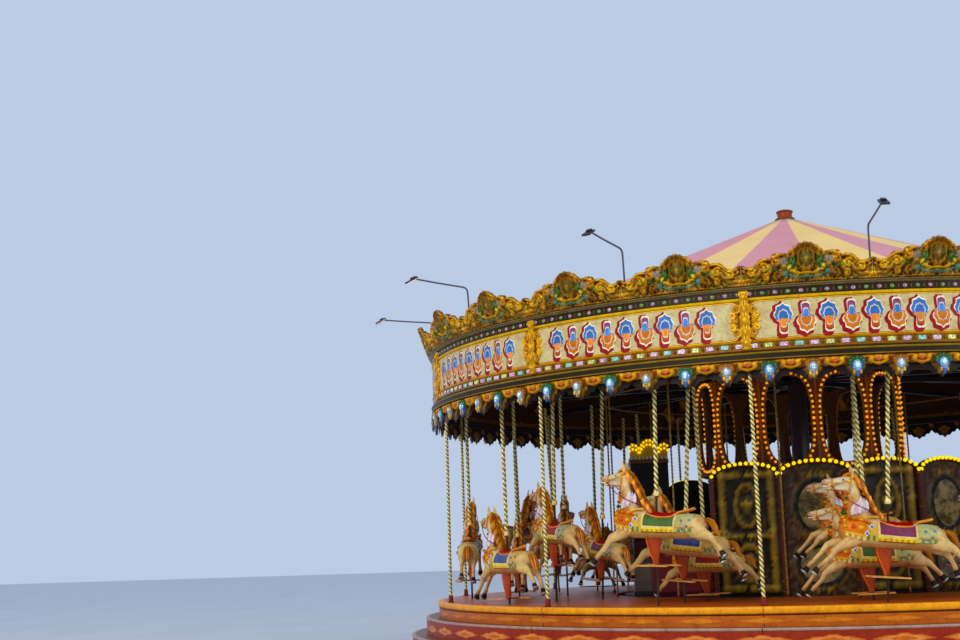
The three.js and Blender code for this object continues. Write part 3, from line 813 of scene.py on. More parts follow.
def painting_finish(name):
    """Old fairground landscape painting under brown varnish: foliage, hills and a gold sky."""
    finish = Finish(name, Coat_Weight=0.3, Coat_Roughness=0.12, Specular_IOR_Level=0.3)
    place = finish.place((1.0, 1.0, 1.4))
    clouds = finish.speckle(5.0, 5.0, place, 0.65)
    leaves = finish.speckle(14.0, 6.0, place, 0.7)
    sky = finish.mix(finish.span(clouds, 0.3, 0.7), opaque(tone(96, 82, 44)), opaque(tone(158, 138, 92)))
    wood = finish.mix(finish.span(leaves, 0.38, 0.62), opaque(tone(40, 34, 14)), opaque(tone(92, 78, 34)))
    finish.set("Base Color", finish.mix(finish.span(clouds, 0.42, 0.55), wood, sky))
    finish.set("Roughness", finish.span(leaves, 0.3, 0.8, 0.25, 0.5))
    finish.bump(leaves, 0.003, 0.5)
    return finish.material


# Each finish: the function that makes it and what that function is given after the name
FINISHES = {
    "carved_paint": (carved_paint_finish, 0.4, 0.0022, 0.5),
    "horse_paint": (carved_paint_finish, 0.34, 0.0014, 0.55),
    "lamp_coat": (carved_paint_finish, 0.4, 0.0005, 0.2),
    "bright_twist": (twisted_brass_finish, tone(252, 236, 168), tone(112, 90, 40)),
    # The inner rods' twist is darker than the outer rods'.
    "old_twist": (twisted_brass_finish, tone(196, 158, 84), tone(50, 32, 12)),
    "yellow_bulb": (bulb_finish, tone(255, 226, 66), 1.0),
    "amber_bulb": (bulb_finish, tone(246, 172, 92), 0.85),
    "jewel_glass": (jewel_finish,),
    "varnished_floor": (timber_finish, tone(214, 112, 30), tone(152, 68, 14), BOARD_PITCH, 0.4, 0.1),
    "deck_timber": (timber_finish, tone(60, 34, 18), tone(36, 20, 12), BOARD_PITCH),
    "swift_paint": (timber_finish, tone(30, 15, 9), tone(18, 10, 7)),
    "maroon_paint": (timber_finish, tone(128, 18, 30), tone(84, 11, 18)),
    "grey_paint": (timber_finish, tone(148, 132, 120), tone(108, 96, 88)),
    "mast_paint": (timber_finish, tone(70, 28, 15), tone(42, 16, 10)),
    "shaft_steel": (metal_finish, tone(62, 56, 50), 0.35),
    "tilt_canvas": (canvas_finish,),
    "canvas_lining": (underside_shade_finish,),
    "panel_painting": (painting_finish,),
}
MATERIALS = {}


def material(name):
    """The finish of that name, made when it is first asked for."""
    if name not in MATERIALS:
        maker, *values = FINISHES[name]
        MATERIALS[name] = maker(name, *values)
    return MATERIALS[name]


def section_turn(section):
    return Matrix.Rotation(-SECTION * section, 4, "Z")


def kept(piece, body, slot, *nodes):
    """Fixes a piece to its body and hides the nodes that it stands for; its paint slot is not used."""
    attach(piece, body)
    if nodes:
        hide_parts(*nodes)
    return piece


def painted(name, carving, finish="carved_paint", sharp=42.0):
    return carved_piece(name, carving, material(finish), sharp)


def painted_round(name, carving, finish="carved_paint", sharp=42.0):
    """A piece drawn for one section and repeated round the centre line."""
    return all_round(painted(name, carving, finish, sharp), material(finish))


def sizes():
    return bpy.context.scene.carousel_sizes


def chosen(name, gilt=0.0):
    """A colour from the panel, as a paint."""
    return tuple(getattr(bpy.context.scene.carousel_colours, name)) + (gilt,)


# Steps and platform

def clouds_round(name, radius, middle, tall, width, form, edge, layers=3):
    """Painted clouds in a row along a riser."""
    carving = Carving()
    steps = 9
    for layer, size in enumerate((1.0, 0.8, 0.42)[:layers]):
        stations = []
        for k in range(steps + 1):
            share = -1 + 2 * k / steps
            rise = max(0.0, math.cos(share * math.pi / 2)) ** 1.1 * (0.8 + 0.2 * math.cos(share * 10))
            half = 0.002 + tall / 2 * size * rise
            stations.append((share * width / 2 * size, middle - 0.85 * half, middle + 1.15 * half))
        carving.add(strips(stations, -0.003, 0.0012 + 0.0008 * layer), edge if layer % 2 == 0 else form)
    count = SECTIONS * sizes().clouds_per_section
    piece = all_round(painted(name, carving.moved(bent(radius))), material("carved_paint"), count)
    kept(piece, "base", "step_paint")


def seams(carving, radius, low, high, paint=DARK_BROWN):
    """Upright joints between the sections of a riser or a nosing."""
    for k in range(SECTIONS):
        seam = Carving(box((-0.004, -radius - 0.001, low), (0.004, -radius + 0.02, high)), paint)
        carving.join(seam.moved_by(section_turn(k + 0.5)))


def make_steps():
    """Both treads with their rolled nosings and painted risers."""
    carving = Carving()
    risers = ((STEP_RADII[0], 6.40, 0.0, 0.262, "lower_riser"),
              (STEP_RADII[1], 6.19, 0.30, 0.522, "lower_riser"),
              (STEP_RADII[2], 5.998, 0.56, 0.694, "upper_riser"))
    for radius, inner, low, high, paint in risers:
        profile = [(radius, low), (radius, high), (inner, high), (inner, low)]
        carving.add(ring(profile, STEP_SIDES), chosen(paint))
    for radius, _, low, high, _ in risers:
        seams(carving, radius + 0.001, low, high)
    body = painted("step_risers", carving)
    treads = Carving()
    board, lip = tone(120, 84, 62), tone(178, 150, 138)
    for radius, top, inner in ((6.46, 0.30, 6.226), (6.23, 0.56, 6.019)):
        profile = [(inner, top - 0.038), (radius - 0.004, top - 0.038), (radius + 0.004, top - 0.028),
                   (radius + 0.006, top - 0.012), (radius + 0.002, top - 0.002), (radius - 0.008, top),
                   (radius - 0.05, top), (radius - 0.052, top - 0.001), (inner, top - 0.001)]
        points, faces = ring(profile, STEP_SIDES)
        treads.add((points, faces), [board if math.hypot(x, y) < radius - 0.051 or z < top - 0.03 else lip
                                     for x, y, z in points])
        seams(treads, radius + 0.006, top - 0.038, top)
    tread_piece = painted("step_treads", treads)
    clouds_round("lower_riser_clouds", 6.453, 0.13, 0.15, 0.78, tone(232, 160, 116), tone(206, 118, 66))
    clouds_round("upper_riser_clouds", 6.226, 0.41, 0.13, 0.74, tone(226, 148, 96), tone(204, 112, 58))
    clouds_round("edge_riser_clouds", 6.019, 0.63, 0.075, 0.66, tone(212, 136, 66), tone(198, 116, 46), 2)
    kept(body, "base", "step_paint", "lower_step", "upper_step")
    kept(tread_piece, "base", "step_paint")


def make_edge():
    """Rounded amber nosing round the platform, with painted shade along its foot."""
    profile = [(5.94, 0.801), (5.94, 0.775), (5.99, 0.70), (6.018, 0.70), (6.02, 0.714), (6.026, 0.718),
               (6.034, 0.73), (6.038, 0.75), (6.038, 0.77), (6.036, 0.786), (6.028, 0.798), (6.01, 0.803)]
    points, faces = ring(profile, STEP_SIDES)
    # The nosing's foot, over the running gap above the riser, is painted dark: painted shade.
    dark = tone(90, 38, 14)
    carving = Carving((points, faces), [chosen("nosing") if z > 0.717 else dark for _, _, z in points])
    seams(carving, 6.038, 0.715, 0.8, tone(150, 84, 20))
    kept(painted("platform_nosing", carving), "frame", "edge_paint", "platform_edge")


# Rods

def divider_points(radius, low, high):
    lines = []
    for k in range(SECTIONS):
        angle = SECTION * (k + 0.5)
        x, y = -radius * math.sin(angle), -radius * math.cos(angle)
        lines.append([(x, y, low), (x, y, high)])
    return lines


def make_rods():
    """Twisted rods between the horses, with their sockets and the hoops that tie them."""
    size = sizes()
    outer = twisted("outer_twisted_rods", divider_points(OUTER_RODS, FLOOR + 0.1, BEAM_BOTTOM - 0.01),
                    size.outer_rod_radius, size.outer_ridge_spacing, material("bright_twist"), 8)
    inner = twisted("inner_twisted_rods", divider_points(INNER_RODS, FLOOR + 0.02, BEAM_BOTTOM - 0.01),
                    size.inner_rod_radius, size.inner_ridge_spacing, material("old_twist"), 5)
    carving = Carving()
    sockets = [(foot, 0.034, 0.11) for foot, _ in divider_points(OUTER_RODS, FLOOR, 0)]
    sockets += [(foot, 0.02, 0.05) for foot, _ in divider_points(INNER_RODS, FLOOR, 0)]
    for foot, radius, tall in sockets:
        profile = [(0, 0.001), (radius * 1.5, 0.001), (radius * 1.5, 0.012), (radius * 1.05, 0.02),
                   (radius, tall - 0.01), (radius * 0.85, tall), (0, tall)]
        carving.add(turned(profile, foot, 12), tone(120, 40, 20))
    for radius in (OUTER_RODS, INNER_RODS):
        carving.add(ring([(radius + 0.01, 3.952), (radius + 0.01, 3.974), (radius - 0.01, 3.974),
                          (radius - 0.01, 3.952)], 96), DEEP_GOLD)
    kept(painted("rod_sockets", carving), "frame", "rod_brass")
    kept(outer, "frame", "rod_brass", "outer_rods")
    kept(inner, "frame", "rod_brass", "inner_rods")


# Rounding boards

PETAL_STEM = ((100, 0.62), (112, 0.42), (128, 0.40), (142, 0.62), (155, 0.92), (168, 0.98), (180, 0.94))


def palmette_reach(turn):
    """How far the motif's edge stands from its middle, at so many degrees from its top."""
    turn = abs(turn)
    if turn <= 100:
        return (1 - 0.22 * (turn / 100) ** 2) * (0.8 + 0.2 * abs(math.cos(math.radians(5 * turn))))
    return float(np.interp(turn, [t for t, _ in PETAL_STEM], [r for _, r in PETAL_STEM]))


def fanned(outline, centre, back, front):
    """A thin form whose front is fanned from a middle point that lies inside its outline."""
    n = len(outline)
    points = [(x, back, z) for x, z in outline] + [(x, front, z) for x, z in outline]
    points.append((centre[0], front, centre[1]))
    faces = [tuple(range(n - 1, -1, -1))]
    for k in range(n):
        after = (k + 1) % n
        faces.append((k, after, n + after, n + k))
        faces.append((n + k, n + after, 2 * n))
    return points, faces


def palmette(carving, x, z, upright):
    """One motif of the painted row: blue petals over an orange foot, with a dark red shade."""
    flip = 1 if upright else -1
    upper, lower = chosen("motif_upper"), chosen("motif_lower")
    if not upright:
        upper, lower = lower, upper
    foot = tone(150, 40, 34)
    whole = [-180 + 360 * k / 28 for k in range(28)]
    petals = [-98 + 196 * k / 16 for k in range(17)]
    stem = [98 + 164 * k / 11 for k in range(12)]
    deep_red = tone(146, 34, 36)
    layers = [(whole, 1.22, -0.026, -0.018, 0.001, deep_red, deep_red),
              (whole, 1.04, 0, 0, 0.003, IVORY, IVORY)]
    for share, out, tones in ((0.92, 0.005, (upper, lower)), (0.62, 0.0065, (shade(IVORY, 0.8),) * 2),
                              (0.52, 0.008, (shade(upper, 0.8), shade(lower, 1.15)))):
        layers.append((petals, share, 0, 0, out, tones[0], shade(tones[0], 0.75)))
        layers.append((stem, share, 0, 0, out, tones[1], foot if share > 0.9 else tones[1]))
    for turns, share, dx, dz, out, paint, deep in layers:
        outline = []
        for turn in turns:
            at = turn - 360 if turn > 180 else turn
            reach = palmette_reach(at) * share
            outline.append((x + dx + 0.14 * reach * math.sin(math.radians(at)),
                            z + dz + flip * 0.2 * reach * math.cos(math.radians(at))))
        shape = fanned(outline, (x + dx, z + dz), 0.0, out)
        n = len(outline)
        tones = [between(paint, deep, min(1.0, abs(p[2] - z) / 0.2)) for p in shape[0][:n]]
        carving.add(shape, tones + tones + [paint])


def spiral(x, z, size, turns, start, hand, depth):
    """Path of a scroll, drawn along and up."""
    path = []
    steps = int(9 * turns)
    for k in range(steps + 1):
        share = k / steps
        angle = math.radians(start) + hand * share * turns * 2 * math.pi
        reach = size * (1 - 0.8 * share)
        path.append((x + reach * math.cos(angle), depth, z + reach * math.sin(angle)))
    return path


def board_section():
    """One painted board, drawn flat: panel, frame, pilaster, brackets, motifs and rails."""
    carving = Carving()
    half, level = BOARD_HALF, 4.302
    carving.add(plate(-1.485, 1.485, 4.056, 4.548, 0.07, -0.01, 0.012), BRIGHT_GOLD)
    carving.add(plate(-1.47, 1.47, 4.066, 4.538, 0.065, 0.0, 0.014), tone(128, 76, 34))
    carving.add(plate(-1.462, 1.462, 4.072, 4.532, 0.06, 0.0, 0.0155), chosen("board_panel"))
    motifs = Carving()
    count = sizes().motifs_per_board
    for k in range(count):
        palmette(motifs, -1.10 + 2.20 * k / (count - 1), level, k % 2 == 0)
    carving.join(motifs.moved(lambda p: (p[0], p[1] + 0.016, p[2])))
    amber = tone(200, 150, 52, 0.2)
    for side in (-1, 1):
        for hand, z in ((1, 4.45), (-1, 4.155)):
            path = spiral(side * 1.47, z, 0.058, 1.5, 90 * hand, -side * hand, 0.03)
            carving.add(tube(path, [0.022 - 0.011 * k / len(path) for k in range(len(path))], 5), amber)
            path = spiral(side * 1.42, z - hand * 0.07, 0.042, 1.2, -90 * hand, side * hand, 0.03)
            carving.add(tube(path, [0.018 - 0.008 * k / len(path) for k in range(len(path))], 5), BRIGHT_GOLD)
        for z, size, paint in ((level, 0.048, amber), (4.24, 0.034, GOLD), (4.365, 0.034, GOLD),
                               (level, 0.022, IVORY)):
            carving.add(ball((side * 1.452, 0.024, z), (size, 0.024, size * 0.8), 8, 4), paint)
        carving.add(ball((side * 1.395, 0.02, level), (0.035, 0.016, 0.018), 8, 4), BRIGHT_GOLD)
    yellow = tone(232, 200, 80, 0.15)
    carving.add(raised(rectangle(half - 0.052, half + 0.052, 3.93, 4.69), -0.01, 0.04, 0.01), amber)
    carving.add(raised(rectangle(half - 0.024, half + 0.024, 3.95, 4.67), 0.03, 0.05, 0.006), yellow)
    for z, wide, tall in ((level, 0.06, 0.07), (4.60, 0.05, 0.045), (4.02, 0.05, 0.05), (4.45, 0.03, 0.06),
                          (4.155, 0.03, 0.06)):
        carving.add(ball((half, 0.045, z), (wide, 0.022, tall), 8, 4), amber)
        carving.add(ball((half, 0.055, z + 0.01), (wide * 0.5, 0.02, tall * 0.6), 6, 3), BRIGHT_GOLD)
    carving.add(box((half - 0.004, 0.05, 3.97), (half + 0.004, 0.058, 4.65)), DEEP_GOLD)
    for k in range(10):
        z = 3.975 + 0.074 * k
        for side in (-1, 1):
            carving.add(ball((half + side * 0.052, 0.04, z), (0.018, 0.018, 0.03), 6, 2),
                        BRIGHT_GOLD if k % 2 else GOLD)
    return carving


def jewel(x, z, half_width, half_height, paint):
    """A square-cut jewel."""
    outline = rectangle(x - half_width, x + half_width, z - half_height, z + half_height, 0.008, 1)
    return raised(outline, 0.0, 0.02, 0.01), paint


def inner_carving():
    """The carved back of a board, as it is seen across the ride."""
    field = Relief(tone(76, 48, 20))
    leaves = (tone(186, 128, 50), tone(136, 90, 34), tone(210, 156, 70))
    petals = (tone(206, 150, 62), tone(186, 124, 46))
    field.foliage(11, 130, 1.56, 0.72, 0.07, 0.02, leaves)
    for k in range(5):
        field.fan(0.32 * k + 0.05, 0.36, 0.1, 0.11, 0.032, 0, 324, 10, 0.032, petals)
    return field.slab(48, 7, lambda u, v: ((u - 0.5) * 2 * BOARD_HALF, v * 0.72),
                      lambda x, y, depth: bent(BOARD_BACK)((x * 0.992, -0.4 * depth, 3.95 + y)), back=0.006)


def make_boards():
    """The ring of boards with jewels above and below."""
    back = Carving()
    back.add(ring([(5.985, 3.921), (6.012, 3.921), (6.012, 4.693), (5.985, 4.693)]), tone(142, 108, 44, 0.15))
    back.add(ring([(6.0, 4.022), (6.034, 4.026), (6.046, 4.038), (6.034, 4.05), (6.0, 4.054)]), GOLD)
    back.add(ring([(6.0, 3.926), (6.03, 3.93), (6.03, 3.944), (6.0, 3.948)]), DEEP_GOLD)
    back.add(ring([(6.0, 4.554), (6.036, 4.558), (6.05, 4.574), (6.036, 4.59), (6.0, 4.594)]),
             tone(238, 198, 84, 0.15))
    back.add(ring([(6.0, 4.598), (6.026, 4.6), (6.026, 4.684), (6.0, 4.688)]), tone(40, 31, 17))
    back_piece = painted("board_backs", back)
    front_piece = painted_round("painted_boards", board_section().moved(bent(BOARD_FACE)))
    inner_piece = painted_round("board_linings", Carving(*inner_carving()), sharp=70)
    jewels = Carving()
    beads = Carving()
    colours = (tone(214, 188, 200), tone(204, 208, 140), tone(204, 172, 190), tone(150, 192, 178))
    count = sizes().jewels_per_board
    pitch = 2 * BOARD_HALF / count
    for k in range(count):
        x = -BOARD_HALF + (k + 0.5) * pitch
        jewels.add(*jewel(x, 3.985, 0.052, 0.03, colours[k % 4]))
        beads.add(ball((x - pitch / 2, 0.012, 3.985), (0.02, 0.012, 0.03), 6, 2), tone(90, 52, 20))
        beads.add(ball((x - pitch / 2, 0.02, 3.985), (0.008, 0.014, 0.012), 6, 2), GOLD)
    for k in range(20):
        x = -BOARD_HALF + (k + 0.5) * 2 * BOARD_HALF / 20
        paint = tone(104, 124, 70) if k % 2 else tone(160, 122, 134)
        jewels.add(ball((x, 0.014, 4.642), (0.032, 0.014, 0.028), 7, 3), paint)
        beads.add(ball((x - BOARD_HALF / 20, 0.012, 4.642), (0.012, 0.012, 0.034), 6, 2), tone(110, 84, 34))
    jewel_piece = painted_round("board_jewels", jewels.moved(bent(BOARD_FACE)), "jewel_glass")
    bead_piece = painted_round("board_beads", beads.moved(bent(BOARD_FACE)))
    for piece in (front_piece, inner_piece, jewel_piece, bead_piece):
        kept(piece, "frame", "board_paint")
    kept(back_piece, "frame", "board_paint", "rounding_boards")


def make_cornices():
    """Dark moulding under the boards and the pale double ledge over them."""
    profile = [(5.955, 3.802), (6.046, 3.802), (6.058, 3.808), (6.06, 3.816), (6.046, 3.824), (6.046, 3.87),
               (6.062, 3.878), (6.068, 3.888), (6.06, 3.898), (6.04, 3.904), (6.03, 3.918), (5.955, 3.918)]
    points, faces = ring(profile)
    line, dark = tone(150, 126, 62, 0.2), tone(40, 28, 10)
    paint = [line if 3.874 < z < 3.902 or 3.803 < z < 3.82 else dark for _, _, z in points]
    low = Carving((points, faces), paint)
    kept(painted("cornice_moulding", low), "frame", "cornice_timber", "bottom_cornice")
    profile = [(5.98, 4.695), (6.062, 4.695), (6.07, 4.701), (6.062, 4.707), (6.05, 4.709), (6.05, 4.713),
               (6.076, 4.715), (6.084, 4.721), (6.076, 4.729), (5.98, 4.7295)]
    high = Carving(ring(profile), tone(150, 136, 100, 0.3))
    kept(painted("ledge_moulding", high), "frame", "ledge_aluminium", "top_ledge")


def crest_height(x):
    """Height of the crest's edge over the ledge, along one half section from its crown."""
    x = np.abs(np.asarray(x, dtype=float))
    crown = 0.57 + 0.40 * (1 - np.clip(x / 0.205, 0, 1) ** 1.8) + 0.03 * np.cos(x * 92)
    shoulder = 0.47 + 0.07 * np.sin(np.pi * np.clip((x - 0.205) / 0.215, 0, 1))
    low_wave = 0.30 + 0.06 * np.sin(np.pi * np.clip((x - 0.42) / 0.14, 0, 1))
    tail = 0.30 - 0.28 * np.clip((x - 0.56) / 0.08, 0, 1) + 0.10 * np.exp(-((x - 0.79) / 0.05) ** 2)
    share = np.where(x < 0.205, crown, np.where(x < 0.42, shoulder, np.where(x < 0.56, low_wave, tail)))
    return 0.225 + 0.265 * share


def crest_field():
    """Half a section of crest: cartouche, scrolls, leaves, shells and rope."""
    field = Relief(tone(62, 44, 14, 0.1))
    browns = (tone(146, 110, 38, 0.2), tone(106, 78, 26, 0.15), tone(178, 138, 54, 0.25),
              tone(84, 84, 38, 0.1))
    greens = (tone(62, 104, 48), tone(96, 120, 58), tone(44, 72, 36))
    sage = tone(96, 140, 116)
    field.foliage(7, 300, 0.78, 0.42, 0.034, 0.034, browns)
    edge = [(0.79 * k / 110, float(crest_height(0.79 * k / 110)) - 0.024) for k in range(111)]
    for k, (x, y) in enumerate(edge):
        field.lump(x, y, 0.022, 0.013, 50, 0.046, (BRIGHT_GOLD, GOLD, DEEP_GOLD)[k % 3])
    for k, (x, y) in enumerate(edge[::3]):
        field.lump(x, y - 0.052, 0.018, 0.015, 0, 0.034, GOLD if k % 2 else DEEP_GOLD)
    for k in range(40):
        field.lump(0.01 + 0.02 * k, 0.018, 0.0105, 0.015, 0, 0.04, GOLD if k % 2 else DEEP_GOLD)
    cartouche = [(0, 0.405), (0.062, 0.385), (0.098, 0.33), (0.1, 0.25), (0.066, 0.18), (0, 0.15)]
    field.line(cartouche, 0.016, 0.015, 0.062, tone(160, 116, 40, 0.3))
    field.lump(0, 0.278, 0.072, 0.105, 0, 0.05, tone(112, 92, 44, 0.15))
    field.lump(0.0, 0.278, 0.03, 0.05, 0, 0.066, tone(176, 150, 76, 0.2))
    arch = [(0, 0.452), (0.06, 0.44), (0.115, 0.4), (0.14, 0.34)]
    field.line(arch, 0.02, 0.016, 0.066, tone(128, 84, 28, 0.2))
    field.fan(0.145, 0.2, 0.05, 0.075, 0.02, 95, -35, 6, 0.055, greens)
    field.line([(0, 0.115), (0.06, 0.108), (0.12, 0.12), (0.17, 0.15)], 0.022, 0.014, 0.064, BRIGHT_GOLD)
    field.volute(0.192, 0.178, 0.034, 1.2, 220, 0.013, 0.06, BRIGHT_GOLD)
    field.line([(0, 0.068), (0.08, 0.062), (0.16, 0.074), (0.22, 0.1)], 0.016, 0.011, 0.056, sage)
    field.volute(0.245, 0.122, 0.032, 1.2, 220, 0.011, 0.054, sage)
    field.fan(0.27, 0.225, 0.035, 0.062, 0.016, 150, 20, 7, 0.052, (tone(150, 142, 126), tone(120, 108, 96)))
    field.lump(0.27, 0.205, 0.03, 0.022, 0, 0.062, GOLD)
    field.volute(0.355, 0.265, 0.056, 1.4, 100, 0.017, 0.062, GOLD, -1)
    field.volute(0.345, 0.1, 0.05, 1.3, 300, 0.015, 0.054, tone(176, 122, 36, 0.3))
    field.fan(0.42, 0.17, 0.03, 0.06, 0.018, 130, -40, 6, 0.05, (LEAF_GREEN, tone(120, 118, 48), GOLD))
    field.volute(0.505, 0.2, 0.052, 1.4, 60, 0.016, 0.06, BRIGHT_GOLD, 1)
    field.volute(0.48, 0.085, 0.045, 1.3, 120, 0.015, 0.055, GOLD, -1)
    field.fan(0.585, 0.12, 0.03, 0.065, 0.019, 120, -60, 6, 0.052, (GOLD, tone(104, 96, 40), DEEP_GOLD))
    field.volute(0.66, 0.15, 0.05, 1.4, 150, 0.016, 0.058, BRIGHT_GOLD, -1)
    field.fan(0.79, 0.06, 0.05, 0.075, 0.02, 170, 10, 7, 0.055, (GOLD, DEEP_GOLD, tone(96, 104, 50)))
    field.lump(0.79, 0.065, 0.04, 0.034, 0, 0.068, BRIGHT_GOLD, False)
    field.lump(-0.79, 0.065, 0.04, 0.034, 0, 0.068, BRIGHT_GOLD, False)
    return field


def make_crests():
    """Carved and gilded cresting, one crown to each half section."""
    low = LEDGE_TOP + 0.002
    width = 1.5786

    def spot(u, v):
        x = (u - 0.5) * width
        return x, 0.004 + v * (crest_height(x) - 0.004)

    def place(x, y, depth):
        return bent(CREST_FACE)((x, 0.36 * y + depth - 0.02, low + y))

    piece = painted("gilded_crests", Carving(*crest_field().slab(82, 22, spot, place)), sharp=64)
    piece.data.transform(Matrix.Rotation(SECTION / 4, 4, "Z"))
    kept(all_round(piece, material("carved_paint"), 24), "frame", "gilt_carving", "crests")


# Droppers and inner valance

def from_middle(pitches):
    """How far places lie from the middle of their pitch: 0 there and 1 at its ends."""
    return np.abs((pitches % 1.0) - 0.5) * 2


def dropper(body, glass, x, lit):
    """One hanging shield with its jewel: a large green and blue one or a small gold one."""
    top = 3.785
    wide, tall = (0.1145, 0.26) if lit else (0.105, 0.245)
    base = [(0.0, -1.0), (0.20, -0.90), (0.42, -0.72), (0.62, -0.55), (0.82, -0.42), (0.98, -0.28),
            (0.92, -0.12), (0.6, -0.02), (0.0, 0.0)]
    shape = base + [(-px, pz) for px, pz in base[-2:0:-1]]
    outline = [(x + px * wide, top + pz * tall) for px, pz in shape]
    rim, leaf = (tone(48, 88, 46), tone(104, 150, 84)) if lit else (DEEP_GOLD, GOLD)
    tip = tone(62, 100, 160) if lit else tone(176, 156, 120)
    shell = raised(outline, 0.0, 0.03, 0.012)
    body.add(shell, [between(rim, tip, clamped((top - z) / tall * 3.6 - 1.3)) for _, _, z in shell[0]])
    for k in range(7):
        turn = math.radians(30 * k)
        centre = (x + 0.8 * wide * math.cos(turn), 0.032, top - 0.36 * tall + 0.27 * tall * math.sin(turn))
        body.add(ball(centre, (0.016, 0.012, 0.016), 6, 2), leaf if k % 2 else shade(leaf, 0.7))
    for side in (-1, 1):
        body.add(ball((x + side * 0.36 * wide, 0.03, top - 0.76 * tall), (0.014, 0.012, 0.03), 6, 3),
                 GOLD if lit else BRIGHT_GOLD)
    body.add(ball((x, 0.03, top - 0.93 * tall), (0.013, 0.014, 0.022), 6, 3), tip)
    blue = tone(112, 150, 178) if lit else tone(136, 152, 162)
    glass.add(ball((x, 0.03, top - 0.47 * tall), (0.5 * wide, 0.026, 0.31 * tall), 12, 5), blue)
    # A smaller pale oval in front of the blue jewel, a little above its middle: painted highlight.
    glass.add(ball((x, 0.045, top - 0.43 * tall), (0.3 * wide, 0.02, 0.18 * tall), 8, 4), tone(206, 228, 240))


def make_droppers():
    """Gilded swags with a jewelled drop between each pair."""
    body = Carving()
    glass = Carving()
    pitch = 2 * BOARD_HALF / 6
    for k in range(6):
        dropper(body, glass, (k - 2.5) * pitch, k % 2 == 0)
    field = Relief(tone(112, 62, 18, 0.1))
    swag = (tone(232, 176, 84, 0.25), tone(206, 134, 52, 0.25))
    for k in range(-4, 5):
        middle = k * pitch
        for side in (-1, 1):
            field.volute(middle + side * 0.105, 0.082, 0.034, 1.3, 90 - 40 * side, 0.014, 0.04, swag[0], side,
                         False)
            loop = [(middle + side * 0.09, 0.045), (middle + side * 0.04, 0.02), (middle, 0.012)]
            field.line(loop, 0.02, 0.018, 0.044, swag[0], False)
            field.fan(middle + side * 0.03, 0.07, 0.02, 0.035, 0.012, 90 - 60 * side, 90 - 10 * side, 3,
                      0.036, (swag[1],), False)
            field.lump(middle + side * 0.16, 0.105, 0.03, 0.02, 0, 0.03, swag[1], False)
        field.lump(middle, 0.06, 0.024, 0.03, 0, 0.05, tone(214, 96, 90), False)
        field.lump(middle, 0.112, 0.05, 0.018, 0, 0.042, swag[0], False)

    def spot(u, v):
        x = (u - 0.5) * 2 * BOARD_HALF
        share = from_middle(x / pitch)
        return x, 0.13 - (0.085 + 0.05 * share + 0.008 * np.cos(share * 12)) * (1 - v)

    body.add(*field.slab(120, 6, spot, lambda x, y, depth: (x, depth - 0.005, 3.668 + y)))
    gilt = painted_round("gilded_droppers", body.moved(bent(BOARD_RADIUS)), sharp=50)
    stones = painted_round("dropper_jewels", glass.moved(bent(BOARD_RADIUS)), "jewel_glass")
    kept(gilt, "frame", "gilt_carving", "droppers")
    kept(stones, "frame", "gilt_carving")


def make_valance():
    """Carved leaves that hang inside the boards."""
    field = Relief(tone(34, 22, 9))
    pitch = 2 * 5.965 * SECTION / 2 / 6
    wood = (tone(182, 130, 60, 0.1), tone(132, 92, 42), tone(210, 160, 80, 0.1))
    for k in range(-4, 4):
        middle = (k + 0.5) * pitch
        field.fan(middle, 0.2, 0.06, 0.08, 0.024, -160, -20, 6, 0.026, wood, False)
        field.fan(middle, 0.16, 0.03, 0.05, 0.016, -130, -50, 3, 0.034, wood, False)
        field.lump(middle, 0.215, 0.05, 0.03, 0, 0.034, wood[2], False)
        field.volute(middle + pitch / 2, 0.25, 0.04, 1.2, 0, 0.013, 0.03, wood[2], 1, False)

    def spot(u, v):
        x = (u - 0.5) * 6 * pitch
        share = from_middle(x / pitch)
        return x, 0.297 - (0.286 - 0.13 * share ** 1.2 + 0.018 * np.cos(share * 16)) * (1 - v)

    place = bent(VALANCE_FACE)
    carving = Carving(*field.slab(96, 6, spot, lambda x, y, depth: place((x, depth * 0.5, 3.5 + y)), True))
    kept(painted_round("carved_valance", carving, sharp=60), "frame", "valance_timber", "inner_valance")


# Roof

def make_tilt():
    """Striped canvas in one sheet, tight over the rafters and a little slack between them."""
    down = 12
    top_radius, top, edge_radius, edge = 0.152, 6.928, 5.97, 4.668
    turns = []
    for k in range(24):
        turns.extend((15 * k - 5 + step, k % 2) for step in (0.02, 2.5, 5.0, 7.5, 10.0, 12.5, 14.98))
    points = []
    paint = []
    for j in range(down + 1):
        share = j / down
        radius = top_radius + (edge_radius - top_radius) * share
        height = top + (edge - top) * share
        for turn, odd in turns:
            angle = math.radians(turn)
            rafter = abs(((turn - 15) / 30 + 0.5) % 1.0 - 0.5) * 2
            slack = sizes().canvas_slack * math.sin(math.pi * share) * math.sin(rafter * math.pi / 2) ** 2
            points.append((radius * math.sin(angle), -radius * math.cos(angle), height - slack))
            paint.append(chosen("pink_stripe") if odd else chosen("cream_stripe"))
    around = len(turns)
    faces = [(j * around + i, j * around + (i + 1) % around, (j + 1) * around + (i + 1) % around,
              (j + 1) * around + i) for j in range(down) for i in range(around)]
    sheet = painted("striped_tilt", Carving((points, faces), paint), "tilt_canvas", 180)
    if sheet.data.polygons[0].normal.z < 0:
        sheet.data.flip_normals()
    # The underside of the sheet takes the painted shade.
    sheet.data.materials.append(material("canvas_lining"))
    thick = sheet.modifiers.new("cloth", "SOLIDIFY")
    thick.thickness = 0.004
    thick.offset = -1
    thick.material_offset = 1
    kept(sheet, "frame", "tilt_canvas", "tilt")


def make_cap():
    """Turned cap at the peak of the roof."""
    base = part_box("top_cap")[0][2]
    profile = [(0, 0.0), (0.162, 0.0), (0.168, 0.008), (0.166, 0.022), (0.15, 0.032), (0.128, 0.04),
               (0.122, 0.06), (0.126, 0.12), (0.14, 0.132), (0.142, 0.146), (0.13, 0.158), (0.09, 0.17),
               (0.04, 0.178), (0, 0.1795)]
    cap = Carving(turned(profile, (0, 0, base), 40), tone(142, 70, 46))
    kept(painted("roof_cap", cap), "frame", "cap_paint", "top_cap")


